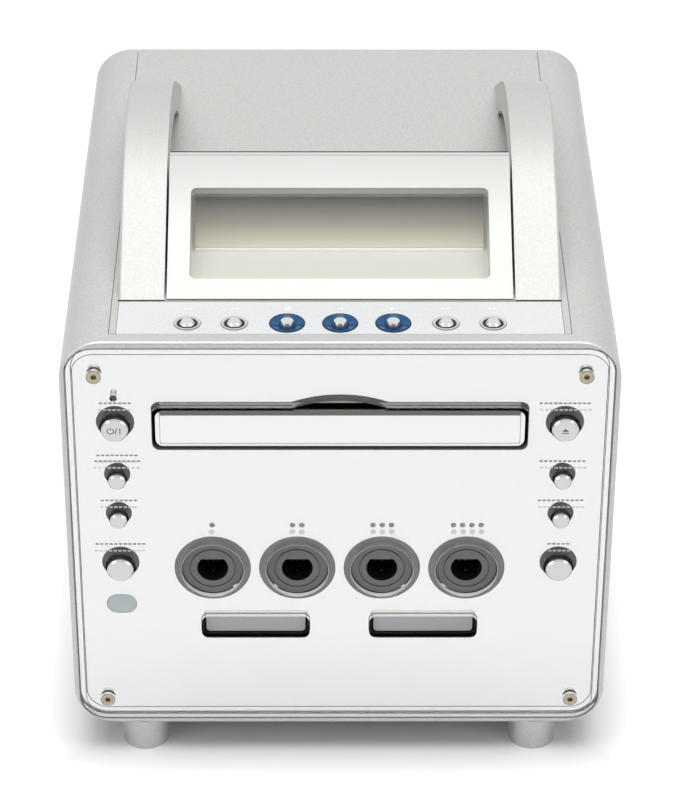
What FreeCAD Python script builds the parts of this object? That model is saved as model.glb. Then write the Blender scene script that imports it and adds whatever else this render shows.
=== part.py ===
import FreeCAD, Part
import math
import os

import Sketcher

# Driving dimensions, in millimetres
SIZES = {
    # Body and panels
    "body_width": 180.0,
    "body_height": 153.0,
    "body_depth": 207.5,
    "corner_radius": 14.0,
    "side_wall": 2.5,
    "side_top_width": 16.0,
    "seam_gap": 0.2,
    "panel_thickness": 3.0,
    "lip_thickness": 2.0,
    "lip_width": 4.0,
    "base_lip": 1.5,
    "base_lip_reach": 1.8,
    "fit_gap": 0.15,
    "run_gap": 0.3,
    "bearing_gap": 0.05,
    "overrun": 1.0,
    # Feet
    "foot_height": 12.2,
    "foot_radius": 8.4,
    "foot_taper": 0.5,
    "foot_side_inset": 23.3,
    "foot_front_inset": 9.0,
    "foot_rear_inset": 20.0,
    # Front frame, clear plate, mirror and chassis
    "frame_depth": 5.4,
    "frame_rim_side": 1.8,
    "frame_rim_top": 2.1,
    "frame_edge_round": 1.0,
    "frame_setback": 0.2,
    "plate_corner": 9.5,
    "glass_thickness": 3.0,
    "plate_bevel": 2.1,
    "plate_bevel_depth": 0.3,
    "mirror_gap": 0.1,
    "mirror_thickness": 0.7,
    "chassis_thickness": 3.4,
    "chassis_margin": 0.2,
    # Front screws
    "screw_inset": 11.2,
    "screw_top_drop": 12.9,
    "screw_low_drop": 142.9,
    "screw_head_radius": 2.3,
    "screw_head_height": 2.2,
    "screw_radius": 1.5,
    "screw_socket_radius": 1.0,
    "screw_socket_depth": 1.6,
    "screw_boss_radius": 3.4,
    "screw_boss_length": 5.0,
    # Front buttons
    "button_inset": 17.4,
    "power_drop": 31.9,
    "upper_small_step": 20.2,
    "lower_small_step": 15.5,
    "lower_large_step": 19.7,
    "cap_reach": 2.4,
    "cap_edge": 0.5,
    "large_cap_radius": 4.35,
    "large_hole_radius": 5.0,
    "large_mirror_radius": 6.2,
    "small_cap_radius": 2.8,
    "small_hole_radius": 3.3,
    "small_mirror_radius": 4.3,
    "hole_lift": 0.8,
    "cap_flange": 1.5,
    "cap_flange_thickness": 1.0,
    "front_travel": 1.0,
    "switch_height": 3.2,
    "switch_width": 6.0,
    "board_thickness": 1.6,
    "side_board_width": 16.0,
    "side_board_end": 10.0,
    "board_boss_radius": 2.4,
    # Pilot lamp and remote sensor
    "lamp_inset": 17.2,
    "lamp_drop": 20.9,
    "lamp_radius": 1.05,
    "lamp_setback": 0.8,
    "lamp_flange": 0.8,
    "lamp_length": 10.0,
    "sensor_inset": 17.2,
    "sensor_step": 16.3,
    "sensor_width": 9.7,
    "sensor_height": 7.4,
    "sensor_corner": 3.5,
    # Controller ports
    "port_drop": 88.9,
    "port_radius": 10.2,
    "port_edge": 0.3,
    "port_hole_radius": 10.5,
    "port_flange_radius": 12.5,
    "port_mirror_radius": 12.7,
    "port_setback": 1.7,
    "port_barrel_radius": 9.4,
    "port_barrel_length": 6.0,
    "port_groove_radius": 7.5,
    "port_groove_width": 0.45,
    "port_groove_depth": 0.4,
    "socket_radius": 5.2,
    "socket_flat": 3.6,
    "socket_depth": 10.0,
    # Card slots and their flaps
    "card_step": 23.2,
    "card_width": 36.2,
    "card_height": 8.8,
    "card_corner": 2.4,
    "card_mirror_grow": 0.2,
    "card_setback": 2.0,
    "card_wall": 0.7,
    "card_length": 44.0,
    "card_flange": 2.5,
    "card_flange_thickness": 1.5,
    "flap_thickness": 1.0,
    "flap_setback": 0.4,
    "flap_gap": 0.25,
    "flap_side_gap": 0.6,
    "flap_barrel_radius": 0.7,
    "flap_pin_radius": 0.5,
    "flap_pin_length": 0.5,
    # Tray slot, arch, door and tray
    "slot_side_gap": 11.8,
    "slot_height": 16.0,
    "slot_drop": 32.7,
    "slot_corner": 2.5,
    "slot_mirror_grow": 0.2,
    "slot_mirror_rise": 1.1,
    "arch_width": 31.0,
    "arch_rise": 2.9,
    "door_gap": 1.15,
    "door_thickness": 5.0,
    "door_bevel": 1.4,
    "door_bevel_depth": 0.5,
    "door_corner": 1.4,
    "tray_rear_gap": 18.2,
    "tray_thickness": 5.0,
    "tray_sink": 5.5,
    "tray_side_inset": 0.3,
    "disc_radius": 60.0,
    "disc_gap": 0.5,
    "disc_front_wall": 3.0,
    "disc_recess": 2.3,
    "small_disc_radius": 40.0,
    "small_disc_recess": 0.9,
    "tray_slot_width": 40.0,
    # Rack and loading gear
    "tooth_module": 1.0,
    "tooth_backlash": 0.35,
    "rack_inset": 14.35,
    "rack_back": 4.0,
    "rack_height": 2.0,
    "gear_place": 28.0,
    "gear_shaft_radius": 1.5,
    "gear_shaft_length": 16.0,
    "loader_radius": 10.0,
    "loader_height": 18.0,
    # Drive deck
    "deck_wall": 2.5,
    "deck_side_gap": 2.45,
    "deck_front_gap": 2.0,
    "deck_rear_gap": 20.3,
    "deck_floor_drop": 12.0,
    "deck_floor_thickness": 2.0,
    "deck_wall_rise": 15.5,
    "deck_ledge_width": 7.5,
    "deck_ledge_thickness": 3.0,
    "deck_guide_length": 30.0,
    "deck_guide_width": 5.5,
    "deck_guide_thickness": 2.0,
    "deck_opening_width": 70.0,
    "deck_opening_front": 50.0,
    "deck_opening_rear": 29.2,
    "bracket_thickness": 1.5,
    "bracket_flange": 9.0,
    "bracket_front": 26.0,
    "bracket_rear": 17.2,
    # Traverse, spindle and pickup
    "traverse_overlap": 5.0,
    "traverse_thickness": 2.0,
    "pickup_window_width": 52.0,
    "pickup_window_front": 16.0,
    "pickup_window_rear": 3.5,
    "spindle_radius": 12.0,
    "spindle_height": 5.0,
    "shaft_radius": 1.5,
    "table_radius": 14.5,
    "table_thickness": 3.0,
    "hub_radius": 7.4,
    "hub_tip_radius": 6.4,
    "hub_height": 2.6,
    "rail_radius": 1.5,
    "rail_column": 22.0,
    "rail_rise": 3.6,
    "rail_block_width": 6.0,
    "rail_block_length": 4.0,
    "sled_front": 4.0,
    "sled_length": 26.0,
    "sled_width": 50.0,
    "sled_height": 4.6,
    "lens_radius": 4.0,
    "lens_height": 1.4,
    "lens_place": 4.5,
    # Clamp
    "clamp_bridge_width": 26.0,
    "clamp_bridge_thickness": 1.5,
    "clamp_radius": 14.0,
    "clamp_thickness": 4.0,
    "clamp_clearance": 2.4,
    "clamp_neck_radius": 8.0,
    "clamp_neck_gap": 1.0,
    "clamp_cap_radius": 11.0,
    "clamp_cap_thickness": 1.5,
    # Handle arms
    "arm_width": 15.0,
    "arm_side_gap": 2.0,
    "arm_front": 26.6,
    "arm_rear": 178.0,
    "crest_place": 100.0,
    "crest_height": 32.3,
    "crest_radius": 78.0,
    "arm_edge_round": 1.2,
    "finger_front": 79.0,
    "finger_place": 98.0,
    "finger_height": 19.8,
    "finger_radius": 93.7,
    # Display pod
    "pod_side_gap": 0.8,
    "pod_front": 27.2,
    "pod_run": 45.5,
    "pod_rise": 28.2,
    "pod_seam": 0.3,
    "pod_seam_depth": 0.8,
    "bezel_thickness": 4.0,
    "window_side": 7.2,
    "window_low": 7.45,
    "window_length": 33.8,
    "window_corner": 2.0,
    "lens_gap": 0.2,
    "lens_setback": 0.6,
    "lens_thickness": 1.0,
    "pod_top_depth": 2.8,
    "pod_rear": 80.0,
    "well_floor": 0.8,
    "panel_place": 56.7,
    "panel_run": 9.0,
    "panel_rise": 15.6,
    "panel_start": 1.2,
    "panel_plate": 2.0,
    "panel_inset": 1.2,
    "well_margin": 1.2,
    # Control strip and top buttons
    "strip_inset": 2.5,
    "strip_rear_gap": 0.7,
    "strip_depth": 20.0,
    "strip_thickness": 1.2,
    "button_row": 12.1,
    "clear_ring_radius": 4.25,
    "clear_ring_rise": 0.35,
    "clear_cap_radius": 2.45,
    "clear_cap_top": 1.8,
    "blue_ring_radius": 5.7,
    "blue_ring_rise": 0.2,
    "blue_cap_radius": 2.25,
    "blue_cap_top": 2.0,
    "ring_wall": 0.5,
    "ring_dish": 0.9,
    "ring_bore_gap": 0.4,
    "top_cap_rise": 1.0,
    "top_cap_crown": 0.9,
    "top_flange": 1.2,
    "top_flange_thickness": 0.8,
    "top_travel": 0.8,
    "top_board_end": 3.0,
    "top_board_depth": 17.0,
    "top_board_boss_gap": 7.0,
    # Rear panel, fan and sockets
    "rear_inset": 2.0,
    "rear_thickness": 2.0,
    "fan_column": 42.0,
    "fan_level": 63.0,
    "fan_size": 60.0,
    "fan_depth": 15.0,
    "fan_bore_radius": 28.0,
    "fan_hub_radius": 12.0,
    "fan_tip_gap": 1.0,
    "fan_blade_thickness": 1.2,
    "fan_blade_lean": 4.0,
    "fan_blade_height": 9.0,
    "fan_strut": 3.0,
    "fan_hub_plate": 2.0,
    "fan_shaft_radius": 1.5,
    "grille_slot": 3.0,
    "grille_pitch": 6.0,
    "jack_column": 14.0,
    "jack_pitch": 16.0,
    "jack_low": 41.0,
    "jack_row_pitch": 15.0,
    "jack_radius": 5.0,
    "jack_reach": 1.4,
    "jack_bore_radius": 1.7,
    "jack_block": 11.0,
    "port_box_column": 22.0,
    "port_box_pitch": 28.0,
    "port_box_level": 85.0,
    "port_box_width": 22.0,
    "port_box_height": 9.0,
    "port_box_wall": 1.2,
    "inlet_column": 58.0,
    "inlet_level": 21.0,
    "inlet_width": 20.0,
    "inlet_height": 14.0,
    "inlet_depth": 16.0,
    "inlet_wall": 2.0,
    "inlet_flange": 2.0,
    # Boards inside
    "standoff_height": 8.0,
    "standoff_radius": 3.0,
    "main_front": 20.0,
    "main_inset": 16.0,
    "chip_width": 30.0,
    "chip_height": 2.5,
    "sink_width": 44.0,
    "sink_base": 3.0,
    "fin_height": 10.0,
    "fin_thickness": 1.5,
    "board_gap": 8.0,
    "supply_rear_gap": 16.5,
    "supply_inset": 24.0,
    "supply_depth": 52.0,
    "transformer_width": 34.0,
    "transformer_depth": 28.0,
    "transformer_height": 24.0,
    "capacitor_radius": 8.0,
    "capacitor_height": 26.0,
    # Vents in the base plate
    "vent_width": 3.0,
    "vent_length": 50.0,
    "vent_pitch": 8.0,
}

# Counts that belong to the object
PORT_COUNT = 4
GEAR_TEETH = 14
FAN_BLADES = 7
FIN_COUNT = 8
VENT_COUNT = 11
HEX_SIDES = 6
PRESSURE_ANGLE = math.radians(20)
PORT_GAP_SHARE = 0.0865

doc = FreeCAD.newDocument("console")
sheet = doc.addObject("Spreadsheet::Sheet", "dims")
for row, (alias, number) in enumerate(SIZES.items(), start=1):
    sheet.set(f"A{row}", alias)
    sheet.set(f"B{row}", str(number))
    sheet.setAlias(f"B{row}", alias)
doc.recompute()


class Size:
    """A length: its present value, and its formula over the cells of the sheet."""

    def __init__(self, value, formula):
        self.value = value
        self.formula = formula

    def __add__(self, other):
        other = as_size(other)
        return Size(self.value + other.value, f"({self.formula} + {other.formula})")

    def __sub__(self, other):
        other = as_size(other)
        return Size(self.value - other.value, f"({self.formula} - {other.formula})")

    def __mul__(self, other):
        other = as_size(other)
        return Size(self.value * other.value, f"({self.formula} * {other.formula})")

    def __truediv__(self, other):
        other = as_size(other)
        return Size(self.value / other.value, f"({self.formula} / {other.formula})")

    def __neg__(self):
        return Size(-self.value, f"(0 - {self.formula})")

    def __radd__(self, other):
        return as_size(other) + self

    def __rsub__(self, other):
        return as_size(other) - self

    def __rmul__(self, other):
        return as_size(other) * self

    def root(self):
        return Size(math.sqrt(self.value), f"sqrt({self.formula})")


def as_size(thing):
    return thing if isinstance(thing, Size) else Size(float(thing), repr(thing))


class Cells:
    """The sheet's cells as sizes, one attribute each."""


d = Cells()
for alias in SIZES:
    setattr(d, alias, Size(sheet.get(alias), f"dims.{alias}"))


def bind(thing, prop, size):
    thing.setExpression(prop, as_size(size).formula)


def around(centre, width):
    return (centre - width / 2, centre + width / 2)


# Solids from primitives

TURNS = {"x": ((0, 1, 0), 90), "y": ((1, 0, 0), -90), "z": ((0, 0, 1), 0)}


def box(name, x, y, z):
    """Block between two places on each axis."""
    block = doc.addObject("Part::Box", name)
    for prop, axis, (low, high) in zip(("Length", "Width", "Height"), "xyz", (x, y, z)):
        bind(block, prop, as_size(high) - low)
        bind(block, f"Placement.Base.{axis}", low)
    return block


def place_along(solid, axis, centre, low):
    """Turn a solid's own Z to an axis; centre is its place on the other two axes."""
    solid.Placement.Rotation = FreeCAD.Rotation(FreeCAD.Vector(*TURNS[axis][0]), TURNS[axis][1])
    others = [letter for letter in "xyz" if letter != axis]
    for letter, size in zip(others + [axis], (*centre, low)):
        bind(solid, f"Placement.Base.{letter}", size)
    return solid


def rod(name, axis, centre, span, radius):
    bar = doc.addObject("Part::Cylinder", name)
    bind(bar, "Radius", radius)
    bind(bar, "Height", as_size(span[1]) - span[0])
    return place_along(bar, axis, centre, span[0])


def cone(name, axis, centre, span, radius, far_radius):
    taper = doc.addObject("Part::Cone", name)
    bind(taper, "Radius1", radius)
    bind(taper, "Radius2", far_radius)
    bind(taper, "Height", as_size(span[1]) - span[0])
    return place_along(taper, axis, centre, span[0])


def fuse(name, *pieces):
    union = doc.addObject("Part::MultiFuse", name)
    union.Shapes = list(pieces)
    union.Refine = True
    return union


def cut(name, base, *tools):
    difference = doc.addObject("Part::Cut", name)
    difference.Base = base
    difference.Tool = tools[0] if len(tools) == 1 else fuse(f"{name}_tools", *tools)
    difference.Refine = True
    return difference


def common(name, first, second):
    overlap = doc.addObject("Part::Common", name)
    overlap.Base = first
    overlap.Tool = second
    return overlap


def group(name, pieces):
    """Separate solids that share one node."""
    compound = doc.addObject("Part::Compound", name)
    compound.Links = list(pieces)
    return compound


# Solids from sketches

ORIGIN = (-1, 1)


def plane_sketch(body, name, role, offset):
    """Sketch on one of the body's own planes, moved along that plane's normal."""
    sketch = body.newObject("Sketcher::SketchObject", name)
    plane = next(feature for feature in body.Origin.OriginFeatures if feature.Role == role)
    sketch.AttachmentSupport = (plane, [""])
    sketch.MapMode = "FlatFace"
    bind(sketch, "AttachmentOffset.Base.z", offset)
    return sketch


def hold(sketch, kind, *where, size):
    """Add a dimension and tie it to the sheet."""
    index = sketch.addConstraint(Sketcher.Constraint(kind, *where, as_size(size).value))
    sketch.setExpression(f"Constraints[{index}]", as_size(size).formula)


def hold_point(sketch, edge, end, across=None, up=None):
    if across is not None:
        hold(sketch, "DistanceX", *ORIGIN, edge, end, size=across)
    if up is not None:
        hold(sketch, "DistanceY", *ORIGIN, edge, end, size=up)


def point(across, up):
    return FreeCAD.Vector(as_size(across).value, as_size(up).value, 0)


def polygon(sketch, corners):
    """Closed outline of straight edges through corners that the sheet holds in place."""
    first = sketch.GeometryCount
    ring = list(zip(corners, corners[1:] + corners[:1]))
    for (start, end) in ring:
        sketch.addGeometry(Part.LineSegment(point(*start), point(*end)))
    for step, (start, _) in enumerate(ring):
        after = first + (step + 1) % len(ring)
        sketch.addConstraint(Sketcher.Constraint("Coincident", first + step, 2, after, 1))
        hold_point(sketch, first + step, 1, *start)


def rectangle(sketch, across, up):
    polygon(sketch, [
        (across[0], up[0]), (across[1], up[0]), (across[1], up[1]), (across[0], up[1])])


def circle(sketch, across, up, radius):
    centre = point(across, up)
    normal = FreeCAD.Vector(0, 0, 1)
    edge = sketch.addGeometry(Part.Circle(centre, normal, as_size(radius).value))
    hold(sketch, "Radius", edge, size=radius)
    hold_point(sketch, edge, 3, across, up)


def rounded_rectangle(sketch, across, up, radius):
    """Rectangle between two places each way, with one radius at all four corners."""
    left, right = (as_size(size) for size in across)
    low, high = (as_size(size) for size in up)
    corner = as_size(radius)
    first = sketch.GeometryCount
    sides = [
        ((left + corner, low), (right - corner, low)),
        ((right, low + corner), (right, high - corner)),
        ((right - corner, high), (left + corner, high)),
        ((left, high - corner), (left, low + corner)),
    ]
    centres = [
        (right - corner, low + corner),
        (right - corner, high - corner),
        (left + corner, high - corner),
        (left + corner, low + corner),
    ]
    normal = FreeCAD.Vector(0, 0, 1)
    for turn, (side, centre) in enumerate(zip(sides, centres)):
        sketch.addGeometry(Part.LineSegment(point(*side[0]), point(*side[1])))
        start = (turn - 1) * math.pi / 2
        ring = Part.Circle(point(*centre), normal, corner.value)
        sketch.addGeometry(Part.ArcOfCircle(ring, start, start + math.pi / 2))
    for turn in range(4):
        line, arc = first + 2 * turn, first + 2 * turn + 1
        following = first + 2 * ((turn + 1) % 4)
        sketch.addConstraint(Sketcher.Constraint("Tangent", line, 2, arc, 1))
        sketch.addConstraint(Sketcher.Constraint("Tangent", arc, 2, following, 1))
        sketch.addConstraint(Sketcher.Constraint("Vertical" if turn % 2 else "Horizontal", line))
        if turn:
            sketch.addConstraint(Sketcher.Constraint("Equal", first + 1, arc))
    hold(sketch, "Radius", first + 1, size=corner)
    hold_point(sketch, first, 1, up=low)
    hold_point(sketch, first + 2, 1, across=right)
    hold_point(sketch, first + 4, 1, up=high)
    hold_point(sketch, first + 6, 1, across=left)


def pad(body, sketch, length, reverse=False):
    feature = body.newObject("PartDesign::Pad", f"{sketch.Name}_pad")
    feature.Profile = sketch
    feature.Reversed = reverse
    bind(feature, "Length", length)
    return feature


def pocket(body, sketch, length, reverse=False):
    """Cut from the sketch into the solid; the volume shows that it cut something."""
    doc.recompute()
    before = body.Shape.Volume
    feature = body.newObject("PartDesign::Pocket", f"{sketch.Name}_pocket")
    feature.Profile = sketch
    feature.Reversed = reverse
    bind(feature, "Length", length)
    doc.recompute()
    if body.Shape.Volume >= before:
        raise RuntimeError(f"{feature.Name} cuts nothing")
    return feature


def dress(body, kind, base, test, prop, size):
    """Fillet or chamfer on the edges whose ends all pass a test."""
    doc.recompute()
    names = [
        f"Edge{number}"
        for number, edge in enumerate(base.Shape.Edges, start=1)
        if all(test(vertex.Point) for vertex in edge.Vertexes)
    ]
    feature = body.newObject(f"PartDesign::{kind}", f"{base.Name}_{kind.lower()}")
    feature.Base = (base, names)
    bind(feature, prop, size)
    return feature


def near(first, second):
    """Two places that are the same, to a share of the smallest gap in the object."""
    return abs(first - as_size(second).value) < d.bearing_gap.value


NODES = []


def node(label, solid):
    """Name a finished sub-part; its file takes the same name."""
    solid.Label = label
    NODES.append(solid)


# Main places, all worked out from the sheet

whole_depth = d.body_depth + d.cap_reach
face = d.cap_reach - whole_depth / 2
back = whole_depth / 2
frame_back = face + d.frame_depth
glass_back = face + d.glass_thickness
mirror_front = glass_back + d.mirror_gap
mirror_back = mirror_front + d.mirror_thickness
chassis_back = mirror_back + d.chassis_thickness
ground = d.foot_height
top = ground + d.body_height
half = d.body_width / 2
seam = half - d.side_top_width
insert_width = 2 * seam
panel_under = top - d.panel_thickness
lip_under = panel_under - d.lip_thickness
base_top = ground + d.side_wall + d.base_lip
rear_y = (back - d.rear_inset - d.rear_thickness, back - d.rear_inset)
fan_y = (rear_y[0] - d.fan_depth, rear_y[0])
SIDES = {"left": -1, "right": 1}


# Side panels: one moulded C section each, with a lip under the top insert

def side_panel(name, side):
    body = doc.addObject("PartDesign::Body", name)
    sketch = plane_sketch(body, f"{name}_section", "XZ_Plane", -frame_back)
    wall = half - d.side_wall
    floor = ground + d.side_wall
    corners = [
        (seam, top), (half, top), (half, ground), (seam, ground), (seam, floor),
        (wall, floor), (wall, lip_under), (seam - d.lip_width, lip_under),
        (seam - d.lip_width, panel_under), (seam, panel_under),
    ]
    polygon(sketch, [(side * across, up) for across, up in corners])
    solid = pad(body, sketch, back - frame_back, reverse=True)
    rounds = [
        (wall, floor, d.corner_radius - d.side_wall),
        (wall, lip_under, d.corner_radius - d.panel_thickness - d.lip_thickness),
        (half, top, d.corner_radius),
        (half, ground, d.corner_radius),
    ]
    for across, level, radius in rounds:
        def at_corner(place):
            return near(abs(place.x), across) and near(place.z, level)
        solid = dress(body, "Fillet", solid, at_corner, "Radius", radius)
    node(name, body)


for word, side in SIDES.items():
    side_panel(f"side_panel_{word}", side)


# Base plate, standing in the side panels' lower lips, with vents and board pillars

board_under = base_top + d.standoff_height
main_width = insert_width - 2 * d.main_inset
supply_width = insert_width - 2 * d.supply_inset
supply_end = fan_y[0] - d.supply_rear_gap
supply_y = (supply_end - d.supply_depth, supply_end)
main_y = (face + d.main_front, supply_y[0] - d.board_gap)


def pillars(name, width, span):
    """Four pillars inside a board's corners."""
    inset = d.standoff_radius * 2
    places = [
        (side * (width / 2 - inset), y)
        for side in (-1, 1) for y in (span[0] + inset, span[1] - inset)
    ]
    return [
        rod(f"{name}_{step}", "z", place, (base_top - d.base_lip, board_under), d.standoff_radius)
        for step, place in enumerate(places)
    ]


base_skin = box(
    "base_skin",
    around(0, insert_width - 2 * d.seam_gap),
    (frame_back + d.fit_gap, back),
    (ground, base_top),
)
base_flange = box(
    "base_flange",
    around(0, insert_width + 2 * d.base_lip_reach),
    (frame_back + d.fit_gap, back),
    (ground + d.side_wall, base_top),
)
vents = []
for row in range(VENT_COUNT):
    centre = (row - (VENT_COUNT - 1) / 2) * d.vent_pitch
    span = around(0, d.vent_length)
    vents.append(box(
        f"vent_{row}", around(centre, d.vent_width), span, (ground - d.overrun, base_top + d.overrun)))
base_solid = fuse(
    "base_solid", base_skin, base_flange,
    *pillars("main_pillar", main_width, main_y),
    *pillars("supply_pillar", supply_width, supply_y))
node("base_plate", cut("base_plate", base_solid, *vents))


# Feet: turned cones under the base

foot_x = half - d.foot_side_inset
foot_y = (face + d.foot_front_inset, back - d.foot_rear_inset)
feet = [
    cone(f"foot_{step}", "z", place, (0, ground), d.foot_radius - d.foot_taper, d.foot_radius)
    for step, place in enumerate((side * foot_x, y) for side in (-1, 1) for y in foot_y)
]
node("feet", group("feet", feet))


# Front frame: a rim round the clear plate

plate_x = around(0, d.body_width - 2 * d.frame_rim_side)
plate_z = (ground + d.frame_rim_top, top - d.frame_rim_top)


def grown(span, margin):
    return (span[0] - margin, span[1] + margin)


frame = doc.addObject("PartDesign::Body", "front_frame")
frame_front = face + d.frame_setback
rim = plane_sketch(frame, "frame_rim", "XZ_Plane", -frame_front)
rounded_rectangle(rim, around(0, d.body_width), (ground, top), d.corner_radius)
rounded_rectangle(
    rim, grown(plate_x, d.fit_gap), grown(plate_z, d.fit_gap), d.plate_corner + d.fit_gap)
rim_pad = pad(frame, rim, frame_back - frame_front, reverse=True)
reach = half - d.frame_rim_side / 2


def on_front_rim(place):
    outside = abs(place.x) > reach.value or not near_middle(place.z)
    return near(place.y, frame_front) and outside


def near_middle(level):
    return plate_z[0].value - d.fit_gap.value * 2 < level < plate_z[1].value + d.fit_gap.value * 2


dress(frame, "Fillet", rim_pad, on_front_rim, "Radius", d.frame_edge_round)
node("front_frame", frame)


# Places on the front: each drop is measured down from the top

def drop(size):
    return top - size


def mirrored(column, drops):
    """Places in two columns, left and right."""
    return [(side * column, drop(size)) for side in (-1, 1) for size in drops]


button_column = half - d.button_inset
port_room = 2 * (button_column - d.large_mirror_radius) - PORT_COUNT * 2 * d.port_mirror_radius
port_pitch = 2 * d.port_mirror_radius + port_room * PORT_GAP_SHARE
slot_width = 2 * (button_column - d.slot_side_gap)
upper_small_drop = d.power_drop + d.upper_small_step
lower_small_drop = upper_small_drop + d.lower_small_step
lower_large_drop = lower_small_drop + d.lower_large_step
large_places = mirrored(button_column, (d.power_drop, lower_large_drop))
small_places = mirrored(button_column, (upper_small_drop, lower_small_drop))
screw_places = mirrored(half - d.screw_inset, (d.screw_top_drop, d.screw_low_drop))
port_places = [
    ((row - (PORT_COUNT - 1) / 2) * port_pitch, drop(d.port_drop)) for row in range(PORT_COUNT)]
card_places = {word: (side * port_pitch, drop(d.port_drop + d.card_step)) for word, side in SIDES.items()}
lamp_place = (d.lamp_inset - half, drop(d.lamp_drop))
sensor_place = (d.sensor_inset - half, drop(lower_large_drop + d.sensor_step))
slot_level = drop(d.slot_drop)


def front_openings(sketch, large, small, port, screw, slot_grow, card_grow, lamp, lift=0, slot_rise=0):
    """All openings that one layer of the front needs, at that layer's sizes."""
    for places, radius in ((large_places, large), (small_places, small)):
        for across, up in places:
            circle(sketch, across, up + lift, radius)
    for places, radius in ((port_places, port), (screw_places, screw), ([lamp_place], lamp)):
        for place in places:
            circle(sketch, *place, radius)
    slot_low, slot_high = grown(around(slot_level, d.slot_height), slot_grow)
    rounded_rectangle(
        sketch, grown(around(0, slot_width), slot_grow), (slot_low, slot_high + slot_rise),
        d.slot_corner + slot_grow)
    for centre in card_places.values():
        rounded_rectangle(
            sketch, grown(around(centre[0], d.card_width), card_grow),
            grown(around(centre[1], d.card_height), card_grow), d.card_corner + card_grow)


def arch(body, y, depth, grow, rise=0):
    """Low arched relief above the tray slot."""
    sketch = plane_sketch(body, f"{body.Name}_arch", "XZ_Plane", -y)
    reach = d.arch_width / 2 + grow
    base = slot_level + d.slot_height / 2 + grow + rise
    low = base - d.slot_corner
    radius = (reach * reach + d.arch_rise * d.arch_rise) / (2 * d.arch_rise)
    centre = base + d.arch_rise - radius
    lean = math.asin((base.value - centre.value) / radius.value)
    ring = Part.Circle(point(0, centre), FreeCAD.Vector(0, 0, 1), radius.value)
    sketch.addGeometry(Part.ArcOfCircle(ring, lean, math.pi - lean))
    corners = [(-reach, base), (-reach, low), (reach, low), (reach, base)]
    for start, end in zip(corners, corners[1:]):
        sketch.addGeometry(Part.LineSegment(point(*start), point(*end)))
    for edge in range(4):
        sketch.addConstraint(Sketcher.Constraint("Coincident", edge, 2, (edge + 1) % 4, 1))
    hold(sketch, "Radius", 0, size=radius)
    for edge, corner in enumerate(corners[:3], start=1):
        hold_point(sketch, edge, 1, *corner)
    hold_point(sketch, 3, 2, *corners[3])
    pocket(body, sketch, depth)


# Clear front plate, with counterbores for the screws and a bevelled rim

glass = doc.addObject("PartDesign::Body", "front_window")
sketch = plane_sketch(glass, "window_outline", "XZ_Plane", -face)
rounded_rectangle(sketch, plate_x, plate_z, d.plate_corner)
front_openings(
    sketch, d.large_hole_radius, d.small_hole_radius, d.port_hole_radius, d.screw_radius + d.fit_gap,
    0, 0, d.lamp_radius + d.fit_gap)
pad(glass, sketch, d.glass_thickness, reverse=True)
arch(glass, face, d.glass_thickness, 0)
sketch = plane_sketch(glass, "screw_seats", "XZ_Plane", -face)
for place in screw_places:
    circle(sketch, *place, d.screw_head_radius + d.fit_gap)
seats = pocket(glass, sketch, d.screw_head_height)


def on_plate_rim(place):
    at_side = near(abs(place.x), plate_x[1])
    at_end = near(place.z, plate_z[0]) or near(place.z, plate_z[1])
    return near(place.y, face) and (at_side or at_end)


bevel = dress(glass, "Chamfer", seats, on_plate_rim, "Size", d.plate_bevel_depth)
bevel.ChamferType = "Two distances"
bind(bevel, "Size2", d.plate_bevel)
node("front_window", glass)


# Mirror plate close behind it, with wider openings that leave a dark crescent over each cap

mirror = doc.addObject("PartDesign::Body", "mirror_plate")
sketch = plane_sketch(mirror, "mirror_outline", "XZ_Plane", -mirror_front)
rounded_rectangle(sketch, plate_x, plate_z, d.plate_corner)
front_openings(
    sketch, d.large_mirror_radius, d.small_mirror_radius, d.port_mirror_radius,
    d.screw_radius + d.fit_gap,
    d.slot_mirror_grow, d.card_mirror_grow, d.lamp_radius + d.fit_gap, d.hole_lift, d.slot_mirror_rise)
rounded_rectangle(
    sketch, around(sensor_place[0], d.sensor_width + 2 * d.fit_gap),
    around(sensor_place[1], d.sensor_height + 2 * d.fit_gap), d.sensor_corner + d.fit_gap)
pad(mirror, sketch, d.mirror_thickness, reverse=True)
arch(mirror, mirror_front, d.mirror_thickness, d.slot_mirror_grow, d.slot_mirror_rise)
node("mirror_plate", mirror)


# Front chassis: the black moulding that carries ports, buttons and switch boards

def chassis_layer(name, y, thickness, outline, corner):
    sketch = plane_sketch(chassis, name, "XZ_Plane", -y)
    rounded_rectangle(sketch, *outline, corner)
    front_openings(
        sketch, d.large_cap_radius + d.run_gap, d.small_cap_radius + d.run_gap,
        d.port_barrel_radius + d.fit_gap, d.screw_radius + d.fit_gap, 0, 0, d.lamp_radius + d.fit_gap)
    return pad(chassis, sketch, thickness, reverse=True)


chassis = doc.addObject("PartDesign::Body", "chassis_web")
chassis_layer("chassis_skin", mirror_back, frame_back - mirror_back, (plate_x, plate_z), d.plate_corner)
inner_x = around(0, d.body_width - 2 * (d.side_wall + d.chassis_margin))
inner_z = (base_top + d.chassis_margin, lip_under - d.chassis_margin)
core_thickness = chassis_back - frame_back
chassis_layer("chassis_core", frame_back, core_thickness, (inner_x, inner_z), d.corner_radius)
switch_gap = d.front_travel + d.run_gap
board_front = chassis_back + d.cap_flange_thickness + switch_gap + d.switch_height
boss_drops = ((d.power_drop + upper_small_drop) / 2, (lower_small_drop + lower_large_drop) / 2)
bosses = []
for step, (across, up) in enumerate(screw_places):
    tube = rod(
        f"screw_boss_{step}", "y", (across, up), (chassis_back, chassis_back + d.screw_boss_length),
        d.screw_boss_radius)
    bore = rod(
        f"screw_bore_{step}", "y", (across, up), (chassis_back, chassis_back + d.screw_boss_length),
        d.screw_radius + d.fit_gap)
    bosses.append(cut(f"screw_tube_{step}", tube, bore))
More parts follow.
